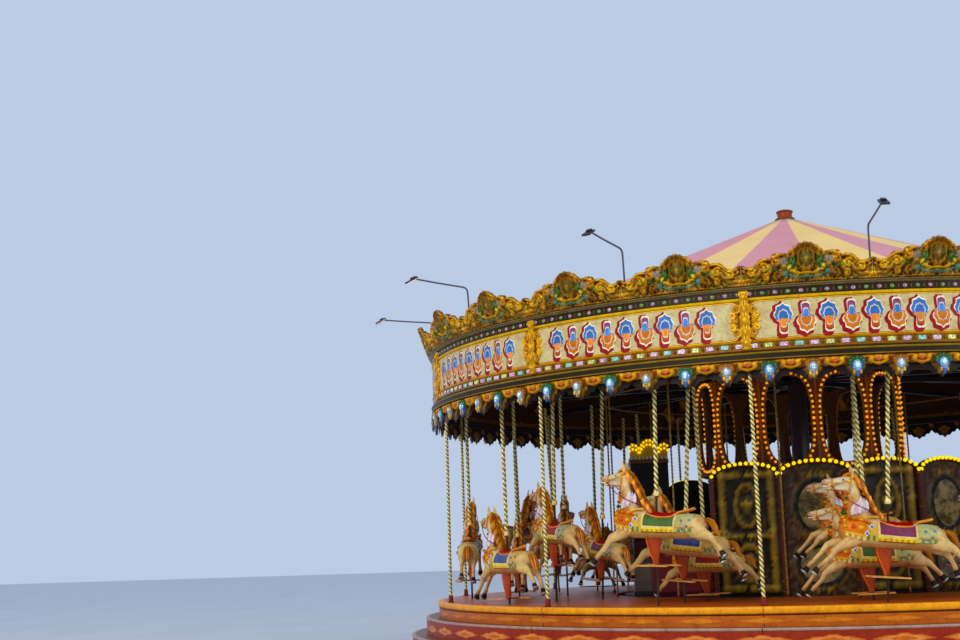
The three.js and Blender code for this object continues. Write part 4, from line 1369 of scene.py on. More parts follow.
def make_lamps():
    """Gooseneck lamps that look back at the crests."""
    carving = Carving()
    lit = Carving()
    steel = tone(84, 84, 92)
    tilt = Matrix.Translation((0, -6.93, 5.482)) @ Matrix.Rotation(math.radians(28), 4, "X")
    path = [(0, -6.0, LEDGE_TOP + 0.01), (0, -6.008, 5.0), (0, -6.026, 5.35), (0, -6.036, 5.385),
            (0, -6.058, 5.412), (0, -6.095, 5.425), (0, -6.5, 5.462), (0, -6.86, 5.502)]
    head = Carving()
    head.add(box((-0.055, -0.09, -0.012), (0.055, 0.09, 0.012)), tone(52, 52, 56))
    head.add(box((-0.03, 0.0, 0.01), (0.03, 0.07, 0.034)), tone(30, 30, 32))
    head.add(box((-0.012, 0.07, -0.01), (0.012, 0.1, 0.02)), NEAR_BLACK)
    head = head.moved_by(tilt)
    glass = Carving(box((-0.045, -0.08, -0.018), (0.045, 0.08, -0.011)), tone(255, 250, 226)).moved_by(tilt)
    for section in range(SECTIONS):
        turn = section_turn(section)
        carving.add(tube([turn @ Vector(p) for p in path], 0.0125, 8), steel)
        carving.join(head.moved_by(turn))
        lit.join(glass.moved_by(turn))
    carving.add(ring([(6.012, LEDGE_TOP + 0.001), (6.012, LEDGE_TOP + 0.018), (5.982, LEDGE_TOP + 0.018),
                      (5.982, LEDGE_TOP + 0.001)], 96), NEAR_BLACK)
    kept(painted("lamp_arms", carving, "lamp_coat"), "frame", "lamp_paint", "light_arms")
    kept(painted("lamp_glass", lit, "jewel_glass"), "frame", "lamp_paint")


# Centre

def rounded_oval(half_width, half_height, sides):
    """Points of the drum's squarish ovals."""
    points = []
    for angle in full_turn(sides):
        c, s = math.cos(angle), math.sin(angle)
        reach = (abs(c) ** 3 + abs(s) ** 3) ** (-1 / 3)
        points.append((half_width * c * reach, half_height * s * reach))
    return points


def pierced_flat(half, low, high, centre_z, half_width, half_height, back, front):
    """A flat with an oval hole, drawn along and up."""
    inner = [(x, centre_z + z) for x, z in rounded_oval(half_width, half_height, 40)]
    outer = []
    for x, z in inner:
        rise = z - centre_z
        limit = (high - centre_z) if rise > 0 else (centre_z - low)
        reach = min(half / max(1e-6, abs(x)), limit / max(1e-6, abs(rise)))
        outer.append((x * reach, centre_z + rise * reach))
    n = len(inner)
    points = [(x, front, z) for x, z in inner] + [(x, front, z) for x, z in outer]
    points += [(x, back, z) for x, z in inner] + [(x, back, z) for x, z in outer]
    faces = []
    for k in range(n):
        after = (k + 1) % n
        faces.append((k, after, n + after, n + k))
        faces.append((2 * n + k, 3 * n + k, 3 * n + after, 2 * n + after))
        faces.append((k, 2 * n + k, 2 * n + after, after))
        faces.append((n + k, n + after, 3 * n + after, 3 * n + k))
    return points, faces


def make_drum():
    """The upper drum: flats with tall ovals, outlined with bulbs."""
    carving = Carving()
    lines = []
    radius, middle = 1.6, 3.425
    half = radius * math.tan(SECTION / 2)
    glow, wood, gold = tone(196, 116, 42), tone(126, 76, 30), tone(166, 112, 44, 0.2)
    for k in range(SECTIONS):
        turn = section_turn(k + 0.5)
        flat = Carving()
        flat.add(pierced_flat(half, 2.64, 4.155, middle, 0.345, 0.675, -radius + 0.03, -radius), wood)
        rim = [(x, -radius - 0.008, middle + z) for x, z in rounded_oval(0.352, 0.682, 40)]
        flat.add(tube(rim + [rim[0]], 0.012, 5), gold)
        for z in (2.66, 2.70):
            flat.add(box((-half, -radius - 0.012, z - 0.01), (half, -radius, z + 0.01)), gold)
        for side in (-1, 1):
            post = box((side * half - 0.016, -radius - 0.014, 2.72), (side * half + 0.016, -radius, 4.13))
            # Each post stands between two rows of bulbs and is painted orange as their glow falling on it:
            # painted light.
            flat.add(post, glow)
            for z, hand in ((2.8, 1), (4.06, -1)):
                curl = spiral(side * 0.36, z, 0.045, 1.2, 90, side * hand, -radius - 0.012)
                flat.add(tube(curl, 0.01, 5), gold)
        carving.join(flat.moved_by(turn))
        path = [turn @ Vector((x, -radius - 0.03, middle + z)) for x, z in rounded_oval(0.385, 0.71, 56)]
        lines.append(path + [path[0]])
    lamps = bulbs("oval_bulbs", lines, sizes().oval_bulb_spacing, sizes().oval_bulb_radius,
                  material("amber_bulb"))
    kept(painted("oval_drum", carving), "frame", "drum_timber", "upper_drum")
    kept(lamps, "frame", "drum_timber")


def arch_height(x, half):
    """Height of a centre panel's arched top at x, for a panel of that half width."""
    share = np.clip(np.abs(x) / half, 0, 1)
    return 2.55 + 0.17 * np.sqrt(1 - share * share)


def arch_points(half, steps):
    """Points along the arched top of a centre panel."""
    places = [half * math.cos(math.pi * k / steps) for k in range(steps + 1)]
    return [(x, float(arch_height(x, half))) for x in places]


def oval_panel_field():
    """Carving of every other centre panel: scrolls and leaves round the dark frames of its two paintings."""
    field = Relief(tone(58, 40, 26))
    gold, olive = tone(176, 138, 72, 0.2), tone(132, 118, 62)
    leaves = (tone(110, 82, 54), tone(88, 70, 46), tone(76, 52, 36), tone(70, 70, 46))
    rims = ((1.08, 0.034, 0.045, tone(108, 82, 48)), (0.92, 0.036, 0.06, tone(20, 32, 24)))
    field.foliage(5, 150, 0.48, 1.9, 0.06, 0.02, leaves)
    for centre, wide, tall in ((1.25, 0.33, 0.40), (0.42, 0.36, 0.30)):
        for angle in full_turn(48):
            for grow, size, depth, paint in rims:
                field.lump(wide * grow * math.cos(angle), centre + tall * grow * math.sin(angle), size, size,
                           0, depth, paint, False)
    for y, size in ((0.82, 0.075), (0.09, 0.05), (1.7, 0.05)):
        field.volute(size * 1.5, y, size, 1.5, 180, size * 0.26, 0.05, gold)
        field.volute(size * 3.4, y + 0.02, size * 0.8, 1.4, 0, size * 0.24, 0.045,
                     tone(120, 92, 44, 0.2), -1)
        field.fan(0, y, size * 0.3, size * 0.8, size * 0.22, 20, 160, 5, 0.05, (olive, gold), False)
        field.lump(0, y, size * 0.35, size * 0.35, 0, 0.06, tone(90, 126, 110))
    return field


def strapwork_panel_field():
    """Carving of the panels between: olive-gold straps and medallions over a dark ground."""
    field = Relief(tone(28, 22, 12))
    strap, pale = tone(156, 128, 56), tone(184, 154, 80, 0.2)
    field.foliage(9, 90, 0.48, 1.9, 0.05, 0.02, (tone(88, 72, 32), tone(62, 52, 26), tone(70, 44, 24)))
    for k in range(21):
        field.lump(0.37, 0.12 + 0.082 * k, 0.05, 0.062, 0, 0.035, strap if k % 5 else pale)
    for y in (0.12, 0.86, 1.74):
        for k in range(5):
            field.lump(0.04 + 0.08 * k, y, 0.056, 0.046, 0, 0.04, strap if k % 2 else pale, k > 0)
    for y, wide, tall in ((1.30, 0.17, 0.30), (0.48, 0.17, 0.24)):
        for angle in full_turn(28):
            field.lump(wide * math.cos(angle), y + tall * math.sin(angle), 0.036, 0.04, 0, 0.04, strap, False)
        field.lump(0, y, 0.085, 0.13, 0, 0.035, tone(122, 106, 58))
        field.fan(0, y, 0.03, 0.075, 0.024, 20, 160, 5, 0.055, (pale, tone(96, 104, 60)), False)
    return field


def make_panels():
    """Arched panels round the centre, with dark painted ovals, posts and bulbs along the arches."""
    reach = 2.9
    half = reach * math.tan(math.pi / 18)
    low = FLOOR + 0.001
    picture = Carving()

    def spot(u, v):
        x = (u - 0.5) * 2 * half
        return x, v * (arch_height(x, half) - low)

    flats = []
    for field in (oval_panel_field(), strapwork_panel_field()):
        flat = Carving(*field.slab(28, 42, spot, lambda x, y, depth: (x, 0.7 * depth, low + y), back=-0.035))
        arch = [(x, 0.012, z - 0.035) for x, z in arch_points(half, 16)]
        flat.add(tube(arch, 0.026, 6), tone(120, 72, 24, 0.25))
        for side in (-1, 1):
            post = [(side * half, 0.02, low), (side * half, 0.02, 2.54)]
            flat.add(tube(post, 0.05, 10, 0.8), tone(92, 48, 36))
            for z in (low + 0.06, 1.0, 2.0, 2.48):
                flat.add(ball((side * half, 0.02, z), (0.06, 0.055, 0.03), 8, 4), tone(140, 96, 34, 0.2))
        flats.append(flat)
    for centre_z, wide, tall in ((2.05, 0.27, 0.34), (1.22, 0.295, 0.245)):
        picture.add(raised(oval(0, centre_z, wide, tall, 28), 0.0, 0.03), CREAM)
    arc = [(0.97 * x, 0.05, z - 0.012) for x, z in arch_points(half, 24)]
    wood = Carving()
    art = Carving()
    arches = []
    for i in range(14):
        turn = Matrix.Rotation(-math.radians(-234 + 20 * i), 4, "Z")
        flip = turn @ Matrix.Translation((0, -reach, 0)) @ Matrix.Scale(-1, 4, (0, 1, 0))
        wood.join(flats[i % 2].moved_by(flip))
        if i % 2 == 0:
            art.join(picture.moved_by(flip))
        arches.append([flip @ Vector(p) for p in arc])
    lamps = bulbs("arch_bulbs", arches, sizes().arch_bulb_spacing, sizes().arch_bulb_radius,
                  material("yellow_bulb"))
    kept(painted("arched_panels", wood, sharp=60), "base", "panel_paint", "centre_panels")
    kept(painted("panel_pictures", art, "panel_painting"), "base", "panel_paint")
    kept(lamps, "base", "panel_paint")


def make_cabin():
    """The attendant's cabin with its lit arch, and the lids of the two lockers."""
    (x0, y0, z0), (x1, y1, z1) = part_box("control_cabin")
    wood = Carving()
    eaves = z1 - 0.3
    wood.add(box((x0, y0, z0), (x1, y1, eaves)), tone(30, 12, 9))
    middle = (x0 + x1) / 2
    stations = []
    crest = []
    for k in range(25):
        x = x0 + (x1 - x0) * k / 24
        share = abs(((x - middle) / (x1 - x0) * 2))
        rise = 0.16 + 0.14 * abs(math.cos(math.pi * share)) ** 0.7 - 0.1 * share ** 3
        stations.append((x, eaves, min(z1, eaves + rise)))
        crest.append((x, min(z1, eaves + rise)))
    wood.add(strips(stations, y0, y0 + 0.05), tone(206, 170, 52))
    wood.add(box((x0 + 0.05, y0 + 0.04, eaves - 0.01), (x1 - 0.05, y1, eaves + 0.1)), tone(60, 30, 16))
    for k in range(10):
        x = x0 + (x1 - x0) * (k + 0.5) / 10
        wood.add(ball((x, y0 - 0.002, eaves - 0.02), (0.03, 0.012, 0.03), 8, 3), tone(220, 206, 170))
    for z in (z0 + 0.04, z0 + 0.95, eaves - 0.08):
        band = box((x0 - 0.012, y0 - 0.012, z - 0.025), (x1 + 0.012, y1 + 0.012, z + 0.025))
        wood.add(band, tone(112, 72, 26, 0.2))
    for k in range(3):
        px = x0 + 0.1 + 0.21 * k
        wood.add(box((px - 0.08, y0 - 0.008, z0 + 0.16), (px + 0.08, y0, z0 + 0.84)), tone(80, 26, 20))
        wood.add(box((px - 0.08, y0 - 0.006, z0 + 1.08), (px + 0.08, y0, eaves - 0.16)), tone(16, 13, 12))
    lines = [[(x, y0 - 0.02, z - inset) for x, z in crest] for inset in (0.03, 0.1)]
    lamps = bulbs("cabin_bulbs", lines, 0.055, 0.02, material("yellow_bulb"))
    lids = Carving()
    for name, paint in (("maroon_locker", tone(84, 18, 22)), ("grey_locker", tone(92, 88, 84))):
        (x0, y0, z0), (x1, y1, z1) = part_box(name)
        lids.add(box((x0 - 0.012, y0 - 0.012, z1 - 0.05), (x1 + 0.012, y1 + 0.012, z1 + 0.01)), paint)
        lids.add(box((x0 - 0.01, y0 - 0.01, z0), (x1 + 0.01, y1 + 0.01, z0 + 0.06)), shade(paint, 0.6))
        for share in (0.25, 0.75):
            x = x0 + (x1 - x0) * share
            hasp = box((x - 0.03, y0 - 0.02, z1 - 0.09), (x + 0.03, y0 - 0.006, z1 - 0.02))
            lids.add(hasp, tone(120, 116, 108, 0.8))
    kept(painted("attendant_cabin", wood, sharp=30), "base", "cabin_paint", "control_cabin")
    kept(lamps, "base", "cabin_paint")
    kept(painted("locker_lids", lids, sharp=30), "base", "maroon_paint")


# Horses

# Stations of the body at rest: x, height of the middle, half width and half depth
BARREL = (
    (-0.60, 0.87, 0.05, 0.05), (-0.56, 0.865, 0.10, 0.12), (-0.46, 0.85, 0.14, 0.17),
    (-0.30, 0.83, 0.155, 0.185), (-0.10, 0.81, 0.16, 0.17), (0.10, 0.80, 0.16, 0.16),
    (0.30, 0.795, 0.165, 0.16), (0.46, 0.80, 0.17, 0.165), (0.58, 0.80, 0.155, 0.15),
    (0.66, 0.79, 0.12, 0.11), (0.71, 0.78, 0.05, 0.04),
)
NECK = (
    (-0.24, 0.86, 0.14, 0.24), (-0.31, 1.0, 0.12, 0.205), (-0.37, 1.13, 0.095, 0.165),
    (-0.415, 1.26, 0.08, 0.13), (-0.44, 1.37, 0.068, 0.10), (-0.44, 1.45, 0.05, 0.065),
)
SKULL = (
    (-0.38, 1.43, 0.04, 0.05), (-0.43, 1.435, 0.066, 0.08), (-0.50, 1.44, 0.074, 0.078),
    (-0.58, 1.44, 0.064, 0.062), (-0.67, 1.432, 0.05, 0.048), (-0.74, 1.428, 0.046, 0.044),
    (-0.79, 1.425, 0.04, 0.036), (-0.812, 1.42, 0.02, 0.018),
)
JAW = (
    (-0.44, 1.37, 0.05, 0.06), (-0.50, 1.362, 0.06, 0.064), (-0.58, 1.358, 0.05, 0.036),
    (-0.66, 1.352, 0.036, 0.024), (-0.72, 1.348, 0.034, 0.024), (-0.755, 1.352, 0.02, 0.014),
)

# Half widths and half depths down a leg, and each leg's distance to the side and path
FRONT_GIRTHS = ((0.07, 0.12), (0.065, 0.095), (0.052, 0.062), (0.044, 0.048), (0.03, 0.033), (0.028, 0.03),
                (0.034, 0.036), (0.028, 0.028))
HIND_GIRTHS = ((0.085, 0.14), (0.08, 0.12), (0.06, 0.08), (0.044, 0.052), (0.032, 0.036), (0.03, 0.032),
               (0.036, 0.038), (0.03, 0.03))
LEGS = (
    (0.085, FRONT_GIRTHS, ((-0.36, 0.84), (-0.46, 0.755), (-0.60, 0.70), (-0.72, 0.655), (-0.80, 0.55),
                           (-0.89, 0.45), (-0.93, 0.405), (-0.965, 0.36))),
    (-0.085, FRONT_GIRTHS, ((-0.36, 0.82), (-0.44, 0.73), (-0.56, 0.66), (-0.65, 0.605), (-0.71, 0.51),
                            (-0.795, 0.436), (-0.838, 0.396), (-0.868, 0.36))),
    (0.09, HIND_GIRTHS, ((0.50, 0.80), (0.56, 0.72), (0.64, 0.665), (0.73, 0.625), (0.785, 0.55),
                         (0.82, 0.486), (0.84, 0.443), (0.85, 0.413))),
    (-0.09, HIND_GIRTHS, ((0.52, 0.82), (0.60, 0.75), (0.70, 0.70), (0.79, 0.665), (0.85, 0.60),
                          (0.90, 0.545), (0.925, 0.515), (0.94, 0.49))),
)


def barrel_at(x):
    """Height of the middle, half height and half width of the barrel at x."""
    xs = [b[0] for b in BARREL]
    return tuple(float(np.interp(x, xs, [b[k] for b in BARREL])) for k in (1, 3, 2))


def neck_at(z, column):
    """The middle's x (column 0) or the half width (column 2) of the neck at a height."""
    return float(np.interp(z, [n[1] for n in NECK], [n[column] for n in NECK]))


def horse_body_mesh(detail):
    """The carved body in one smooth skin: barrel, neck, head and legs run into each other."""
    carving = Carving()
    for stations, sides in ((BARREL, 16), (NECK, 14), (SKULL, 12), (JAW, 10)):
        path = [(x, 0, z) for x, z, _, _ in stations]
        carving.add(limb(path, [(wide, deep) for _, _, wide, deep in stations], sides), CREAM)
    for y, girths, path in LEGS:
        carving.add(limb([(x, y, z) for x, z in path], girths, 10), CREAM)
    piece = carved_piece("horse_skin", carving, material("horse_paint"))
    skin = piece.modifiers.new("skin", "REMESH")
    skin.mode = "VOXEL"
    skin.voxel_size = 0.0125
    ease = piece.modifiers.new("ease", "SMOOTH")
    ease.factor = 0.6
    ease.iterations = 8
    full = len(piece.evaluated_get(bpy.context.evaluated_depsgraph_get()).data.polygons) * 2
    thin = piece.modifiers.new("thin", "DECIMATE")
    thin.ratio = detail * sizes().horse_skin_faces / full
    graph = bpy.context.evaluated_depsgraph_get()
    mesh = bpy.data.meshes.new_from_object(piece.evaluated_get(graph), depsgraph=graph)
    points = [tuple(v.co) for v in mesh.vertices]
    faces = [tuple(p.vertices) for p in mesh.polygons]
    bpy.data.objects.remove(piece)
    bpy.data.meshes.remove(mesh)
    return points, faces


def skin_paint(point):
    """Cream coat with painted shade under the mane, tanned below, with a rosy muzzle."""
    x, _, z = point
    paint = chosen("coat")
    middle = neck_at(z, 0)
    # Painted shade: behind the middle of the neck, under the mane, the coat goes dark brown.
    if z > 1.02:
        paint = between(paint, tone(96, 52, 16), clamped((x - middle - 0.05) / 0.03))
    if 0.74 < z < 1.34 and x < -0.3:
        paint = between(paint, tone(190, 124, 40), 0.85 * clamped((middle + 0.015 - x) / 0.06))
    if z < 0.67:
        paint = between(paint, tone(214, 180, 130), clamped((0.67 - z) / 0.12) * 0.75)
    if z < 0.45:
        paint = between(paint, tone(150, 106, 66), clamped((0.45 - z) / 0.06) * 0.7)
    if z < 0.70 and -0.4 < x < 0.5:
        paint = between(paint, tone(176, 116, 46), 0.5)
    if z > 1.34 and x < -0.44:
        paint = between(paint, tone(224, 218, 198), 0.55)
    muzzle = math.exp(-(((x + 0.80) / 0.06) ** 2 + ((z - 1.40) / 0.06) ** 2))
    return between(paint, tone(206, 140, 116), clamped(muzzle))


def wrap(x0, x1, t0, t1, offset, columns, rows, ridge=0.0):
    """A closed cloth laid over the barrel, from x0 to x1 and down one flank from angle t0 to t1."""
    points = []
    for k in range(rows + 1):
        t = math.radians(t0 + (t1 - t0) * k / rows)
        for i in range(columns + 1):
            x = x0 + (x1 - x0) * i / columns
            middle, tall, wide = barrel_at(x)
            out = offset + (ridge if (i + k) % 2 else 0.0)
            points.append((x, (wide + out) * math.sin(t), middle + (tall + out) * math.cos(t)))
    faces, border = grid(columns, rows)
    start = len(points)
    for index in border:
        x, y, z = points[index]
        middle, tall, wide = barrel_at(x)
        share = (wide - 0.01) / (wide + offset)
        points.append((x, y * share, middle + (z - middle) * share))
    return points, faces + backing(border, start)


def both_flanks(carving, x0, x1, t0, t1, offset, columns, rows, paint, ridge=0.0):
    for side in (-1, 1):
        carving.add(wrap(x0, x1, side * t0, side * t1, offset, columns, rows, ridge), paint)


def fringe(carving, x0, x1, t0, t1, offset, tassels, first, second):
    """Tassels hanging from a cloth's edge on both flanks."""
    for side in (-1, 1):
        for k in range(tassels):
            a = x0 + (x1 - x0) * k / tassels
            b = x0 + (x1 - x0) * (k + 1) / tassels
            reach = t1 + (3 if k % 2 else 0)
            carving.add(wrap(a, b, side * t0, side * reach, offset + (0.004 if k % 2 else 0.0), 1, 1),
                        first if k % 2 else second)


def rosette(carving, x, z, side, size, petal, heart):
    middle, tall, wide = barrel_at(max(-0.56, min(0.6, x)))
    up = max(-0.95, min(0.95, (z - middle) / tall))
    y = side * (wide * math.sqrt(1 - up * up) + 0.02)
    carving.add(ball((x, y, z), (size, 0.012, size), 8, 2), petal)
    carving.add(ball((x, y + side * 0.01, z), (size * 0.5, 0.012, size * 0.5), 5, 2), heart)


def mane_locks(carving, first, second):
    """Heavy carved locks along the crest of the neck."""
    crest = [(-0.40, 1.49), (-0.36, 1.45), (-0.325, 1.40), (-0.295, 1.345), (-0.265, 1.285),
             (-0.235, 1.225), (-0.20, 1.165), (-0.165, 1.11), (-0.125, 1.065), (-0.085, 1.03)]
    for k, (x, z) in enumerate(crest):
        for side in ((-1, 0, 1) if k % 2 == 0 else (-1, 1)):
            lean = side * 0.045
            wave = 0.014 * math.sin(k * 1.9 + side)
            path = [(x - 0.06, lean * 0.4, z + 0.018), (x - 0.01, lean * 0.95, z + 0.022),
                    (x + 0.03, lean * 1.4, z - 0.03 + wave), (x + 0.05, lean * 1.5, z - 0.09 + wave),
                    (x + 0.09, lean * 1.3, z - 0.14 + wave)]
            lock = tube(path, [0.018, 0.034, 0.033, 0.024, 0.007], 5, 0.8)
            carving.add(lock, first if (k + side) % 2 else second)
    for side in (-1, 1):
        path = [(-0.43, side * 0.01, 1.52), (-0.48, side * 0.02, 1.545), (-0.53, side * 0.022, 1.525),
                (-0.56, side * 0.018, 1.495)]
        carving.add(tube(path, [0.02, 0.022, 0.016, 0.006], 5), first)


def tail_locks(carving, first, second):
    for k, side in enumerate((-1, 0, 1)):
        path = [(0.665, side * 0.012, 0.86), (0.72, side * 0.02, 0.88), (0.775, side * 0.03, 0.85),
                (0.81, side * 0.035, 0.79), (0.835, side * 0.03, 0.72), (0.88, side * 0.02, 0.68)]
        carving.add(tube(path, [0.016, 0.03, 0.036, 0.032, 0.022, 0.007], 6), first if k % 2 else second)


def saddle(carving, seat, edging):
    """Dished seat with a high pommel and a swept cantle."""
    stations = ((-0.155, 1.045, 0.05), (-0.12, 1.035, 0.085), (-0.04, 1.0, 0.115), (0.06, 0.978, 0.13),
                (0.18, 0.975, 0.135), (0.28, 0.985, 0.12), (0.36, 1.0, 0.085), (0.45, 1.02, 0.05),
                (0.54, 1.045, 0.022))
    rings = []
    for x, top, half in stations:
        thick = 0.05 if x < 0.3 else 0.042
        row = []
        for angle in full_turn(10):
            drop = 0.045 * abs(math.cos(angle)) ** 3 * (1 if x < 0.34 else 0)
            row.append((x, half * math.cos(angle), top - thick * 0.5 + thick * 0.5 * math.sin(angle) - drop))
        rings.append(row)
    points, faces = loft(rings)
    carving.add((points, faces), [between(seat, edging, clamped((x - 0.3) / 0.06)) for x, _, _ in points])
    for side in (-1, 1):
        path = [(x, side * half * 0.98, top - 0.02 - (0.04 if x < 0.34 else 0)) for x, top, half in stations]
        carving.add(tube(path, 0.012, 5), edging)


def bridle(carving):
    """Gilded straps, eyes, ears, teeth and nostrils."""
    for side in (-1, 1):
        cheek = [(-0.715, side * 0.05, 1.40), (-0.60, side * 0.068, 1.42), (-0.50, side * 0.078, 1.455),
                 (-0.43, side * 0.07, 1.50)]
        carving.add(tube(cheek, 0.009, 4), GOLD)
        brow = [(-0.49, side * 0.078, 1.33), (-0.475, side * 0.08, 1.41), (-0.46, side * 0.062, 1.50),
                (-0.455, side * 0.02, 1.525)]
        carving.add(tube(brow, 0.010, 4), GOLD)
        for x, out, z in ((-0.715, 0.052, 1.395), (-0.49, 0.08, 1.45)):
            carving.add(ball((x, side * out, z), (0.02, 0.01, 0.02), 6, 3), BRIGHT_GOLD)
        carving.add(ball((-0.552, side * 0.06, 1.462), (0.020, 0.012, 0.015), 8, 4), IVORY)
        carving.add(ball((-0.556, side * 0.067, 1.462), (0.013, 0.01, 0.012), 6, 4), NEAR_BLACK)
        carving.add(ball((-0.785, side * 0.033, 1.437), (0.012, 0.008, 0.009), 6, 3), tone(96, 40, 30))
        ear = [(-0.435, side * 0.045, 1.50), (-0.442, side * 0.05, 1.56), (-0.455, side * 0.047, 1.61),
               (-0.468, side * 0.04, 1.65)]
        carving.add(tube(ear, [0.022, 0.026, 0.018, 0.004], 6, 0.6), tone(222, 190, 138))
        carving.add(tube([(-0.71, side * 0.052, 1.39), (-0.55, side * 0.10, 1.24), (-0.36, side * 0.13, 1.14),
                          (-0.15, side * 0.09, 1.06)], 0.007, 4), tone(140, 40, 24))
    around = []
    for k in range(11):
        angle = 2 * math.pi * k / 10
        around.append((-0.69, 0.056 * math.cos(angle), 1.405 + 0.075 * math.sin(angle)))
    carving.add(tube(around, 0.009, 4), GOLD)
    carving.add(box((-0.80, -0.026, 1.372), (-0.72, 0.026, 1.384)), IVORY)
    carving.add(ball((-0.72, 0, 1.375), (0.05, 0.022, 0.012), 6, 3), tone(120, 24, 20))


def hooves(carving):
    for x, y, z, turn in ((-0.985, 0.085, 0.335, 40), (-0.893, -0.085, 0.331, 35),
                          (0.865, 0.09, 0.378, -25), (0.96, -0.09, 0.455, -40)):
        angle = math.radians(turn)
        way = Vector((-math.sin(angle), 0, -math.cos(angle)))
        top = Vector((x, y, z)) - way * 0.03
        carving.add(tube([top - way * 0.02, top + way * 0.02, top + way * 0.065], [0.03, 0.038, 0.048], 8),
                    tone(30, 24, 22))
        carving.add(tube([top + way * 0.05, top + way * 0.07], [0.047, 0.05], 8), SILVER)


def neck_feathers(carving, side):
    """Pale feathers laid over the side of the neck, inside a gilded edge."""
    for k in range(5):
        base = (-0.455 + 0.045 * k, 1.03 + 0.012 * k)
        tip = (base[0] + 0.045 - 0.012 * k, base[1] + 0.21 - 0.03 * abs(k - 2))
        path = []
        for share in (0.0, 0.3, 0.7, 1.0):
            z = base[1] + (tip[1] - base[1]) * share
            half = neck_at(z, 2)
            path.append((base[0] + (tip[0] - base[0]) * share, side * (half + 0.006 - 0.01 * abs(k - 2)), z))
        carving.add(tube(path, [0.016, 0.034, 0.03, 0.008], 5), LILAC if k % 2 else tone(232, 222, 214))
    for k in range(6):
        x, z = -0.49 + 0.05 * k, 1.0 - 0.012 * k
        paint = GOLD if k % 2 else tone(206, 110, 40)
        carving.add(ball((x, side * 0.136, z), (0.034, 0.024, 0.028), 6, 2), paint)


def harness(scheme):
    """Everything a horse wears, in the colours of its scheme."""
    cloth, rear, chest = scheme
    carving = Carving()
    # Every other lock of the mane and tail is the same gold painted darker: painted shade in the gaps between
    # the locks.
    mane_locks(carving, chosen("mane", 0.15), shade(chosen("mane", 0.15), 0.45))
    tail_locks(carving, chosen("mane", 0.15), shade(chosen("mane", 0.15), 0.5))
    both_flanks(carving, -0.13, 0.32, 4, 100, 0.010, 10, 6, cloth)
    for a, b in ((-0.15, -0.125), (0.305, 0.33)):
        both_flanks(carving, a, b, 4, 103, 0.016, 1, 6, tone(240, 216, 150))
    both_flanks(carving, -0.15, 0.33, 90, 97, 0.017, 9, 1, tone(240, 216, 150))
    both_flanks(carving, -0.15, 0.33, 97, 103, 0.015, 9, 1, tone(250, 226, 120))
    fringe(carving, -0.15, 0.33, 103, 114, 0.014, 14, tone(250, 216, 60), tone(222, 168, 34))
    both_flanks(carving, -0.16, 0.335, 114, 117, 0.018, 8, 1, DARK_RED)
    both_flanks(carving, 0.33, 0.59, 26, 96, 0.014, 6, 5, rear)
    both_flanks(carving, 0.33, 0.595, 92, 98, 0.019, 5, 1, GOLD)
    fringe(carving, 0.33, 0.60, 98, 112, 0.016, 7, tone(124, 150, 96), tone(206, 206, 146))
    both_flanks(carving, -0.30, -0.15, 60, 98, 0.014, 4, 4, tone(214, 178, 98))
    fringe(carving, -0.42, -0.15, 98, 114, 0.016, 8, tone(214, 190, 100), tone(90, 140, 96))
    both_flanks(carving, -0.56, -0.29, 26, 102, 0.016, 9, 7, chest, 0.012)
    both_flanks(carving, -0.575, -0.28, 98, 105, 0.026, 7, 1, BRIGHT_GOLD)
    fringe(carving, -0.57, -0.30, 105, 117, 0.018, 8, tone(244, 226, 160), tone(222, 150, 50))
    for side in (-1, 1):
        neck_feathers(carving, side)
        for x, z, size in ((-0.345, 0.985, 0.04), (-0.23, 0.90, 0.04), (-0.29, 0.815, 0.038),
                           (0.30, 0.93, 0.03)):
            rosette(carving, x, z, side, size, tone(226, 226, 216), BLUE)
        for x, z in ((0.42, 0.87), (0.50, 0.80), (0.43, 0.77), (0.53, 0.88)):
            rosette(carving, x, z, side, 0.02, tone(56, 96, 176), tone(190, 206, 190))
        for k in range(7):
            paint = (tone(226, 120, 40, 0.2), tone(246, 196, 90, 0.2), tone(70, 110, 50))[k % 3]
            centre = (-0.567 + 0.012 * k, side * 0.04, 0.94 + 0.06 * k)
            carving.add(ball(centre, (0.034, 0.036, 0.034), 6, 2), paint)
        path = [(-0.30, side * 0.152, 1.0), (-0.22, side * 0.14, 1.02), (-0.14, side * 0.12, 1.02)]
        carving.add(tube(path, 0.013, 5), BRIGHT_GOLD)
        for k in range(6):
            x, turn = -0.53 + 0.09 * (k % 3), math.radians(48 + 28 * (k // 3))
            middle, tall, wide = barrel_at(x)
            centre = (x, side * (wide + 0.018) * math.sin(turn), middle + (tall + 0.018) * math.cos(turn))
            paint = (GOLD, tone(196, 96, 34), tone(240, 190, 90))[k % 3]
            carving.add(ball(centre, (0.04, 0.022, 0.034), 6, 3), paint)
    saddle(carving, tone(160, 34, 24), tone(232, 160, 92, 0.15))
    bridle(carving)
    hooves(carving)
    return carving


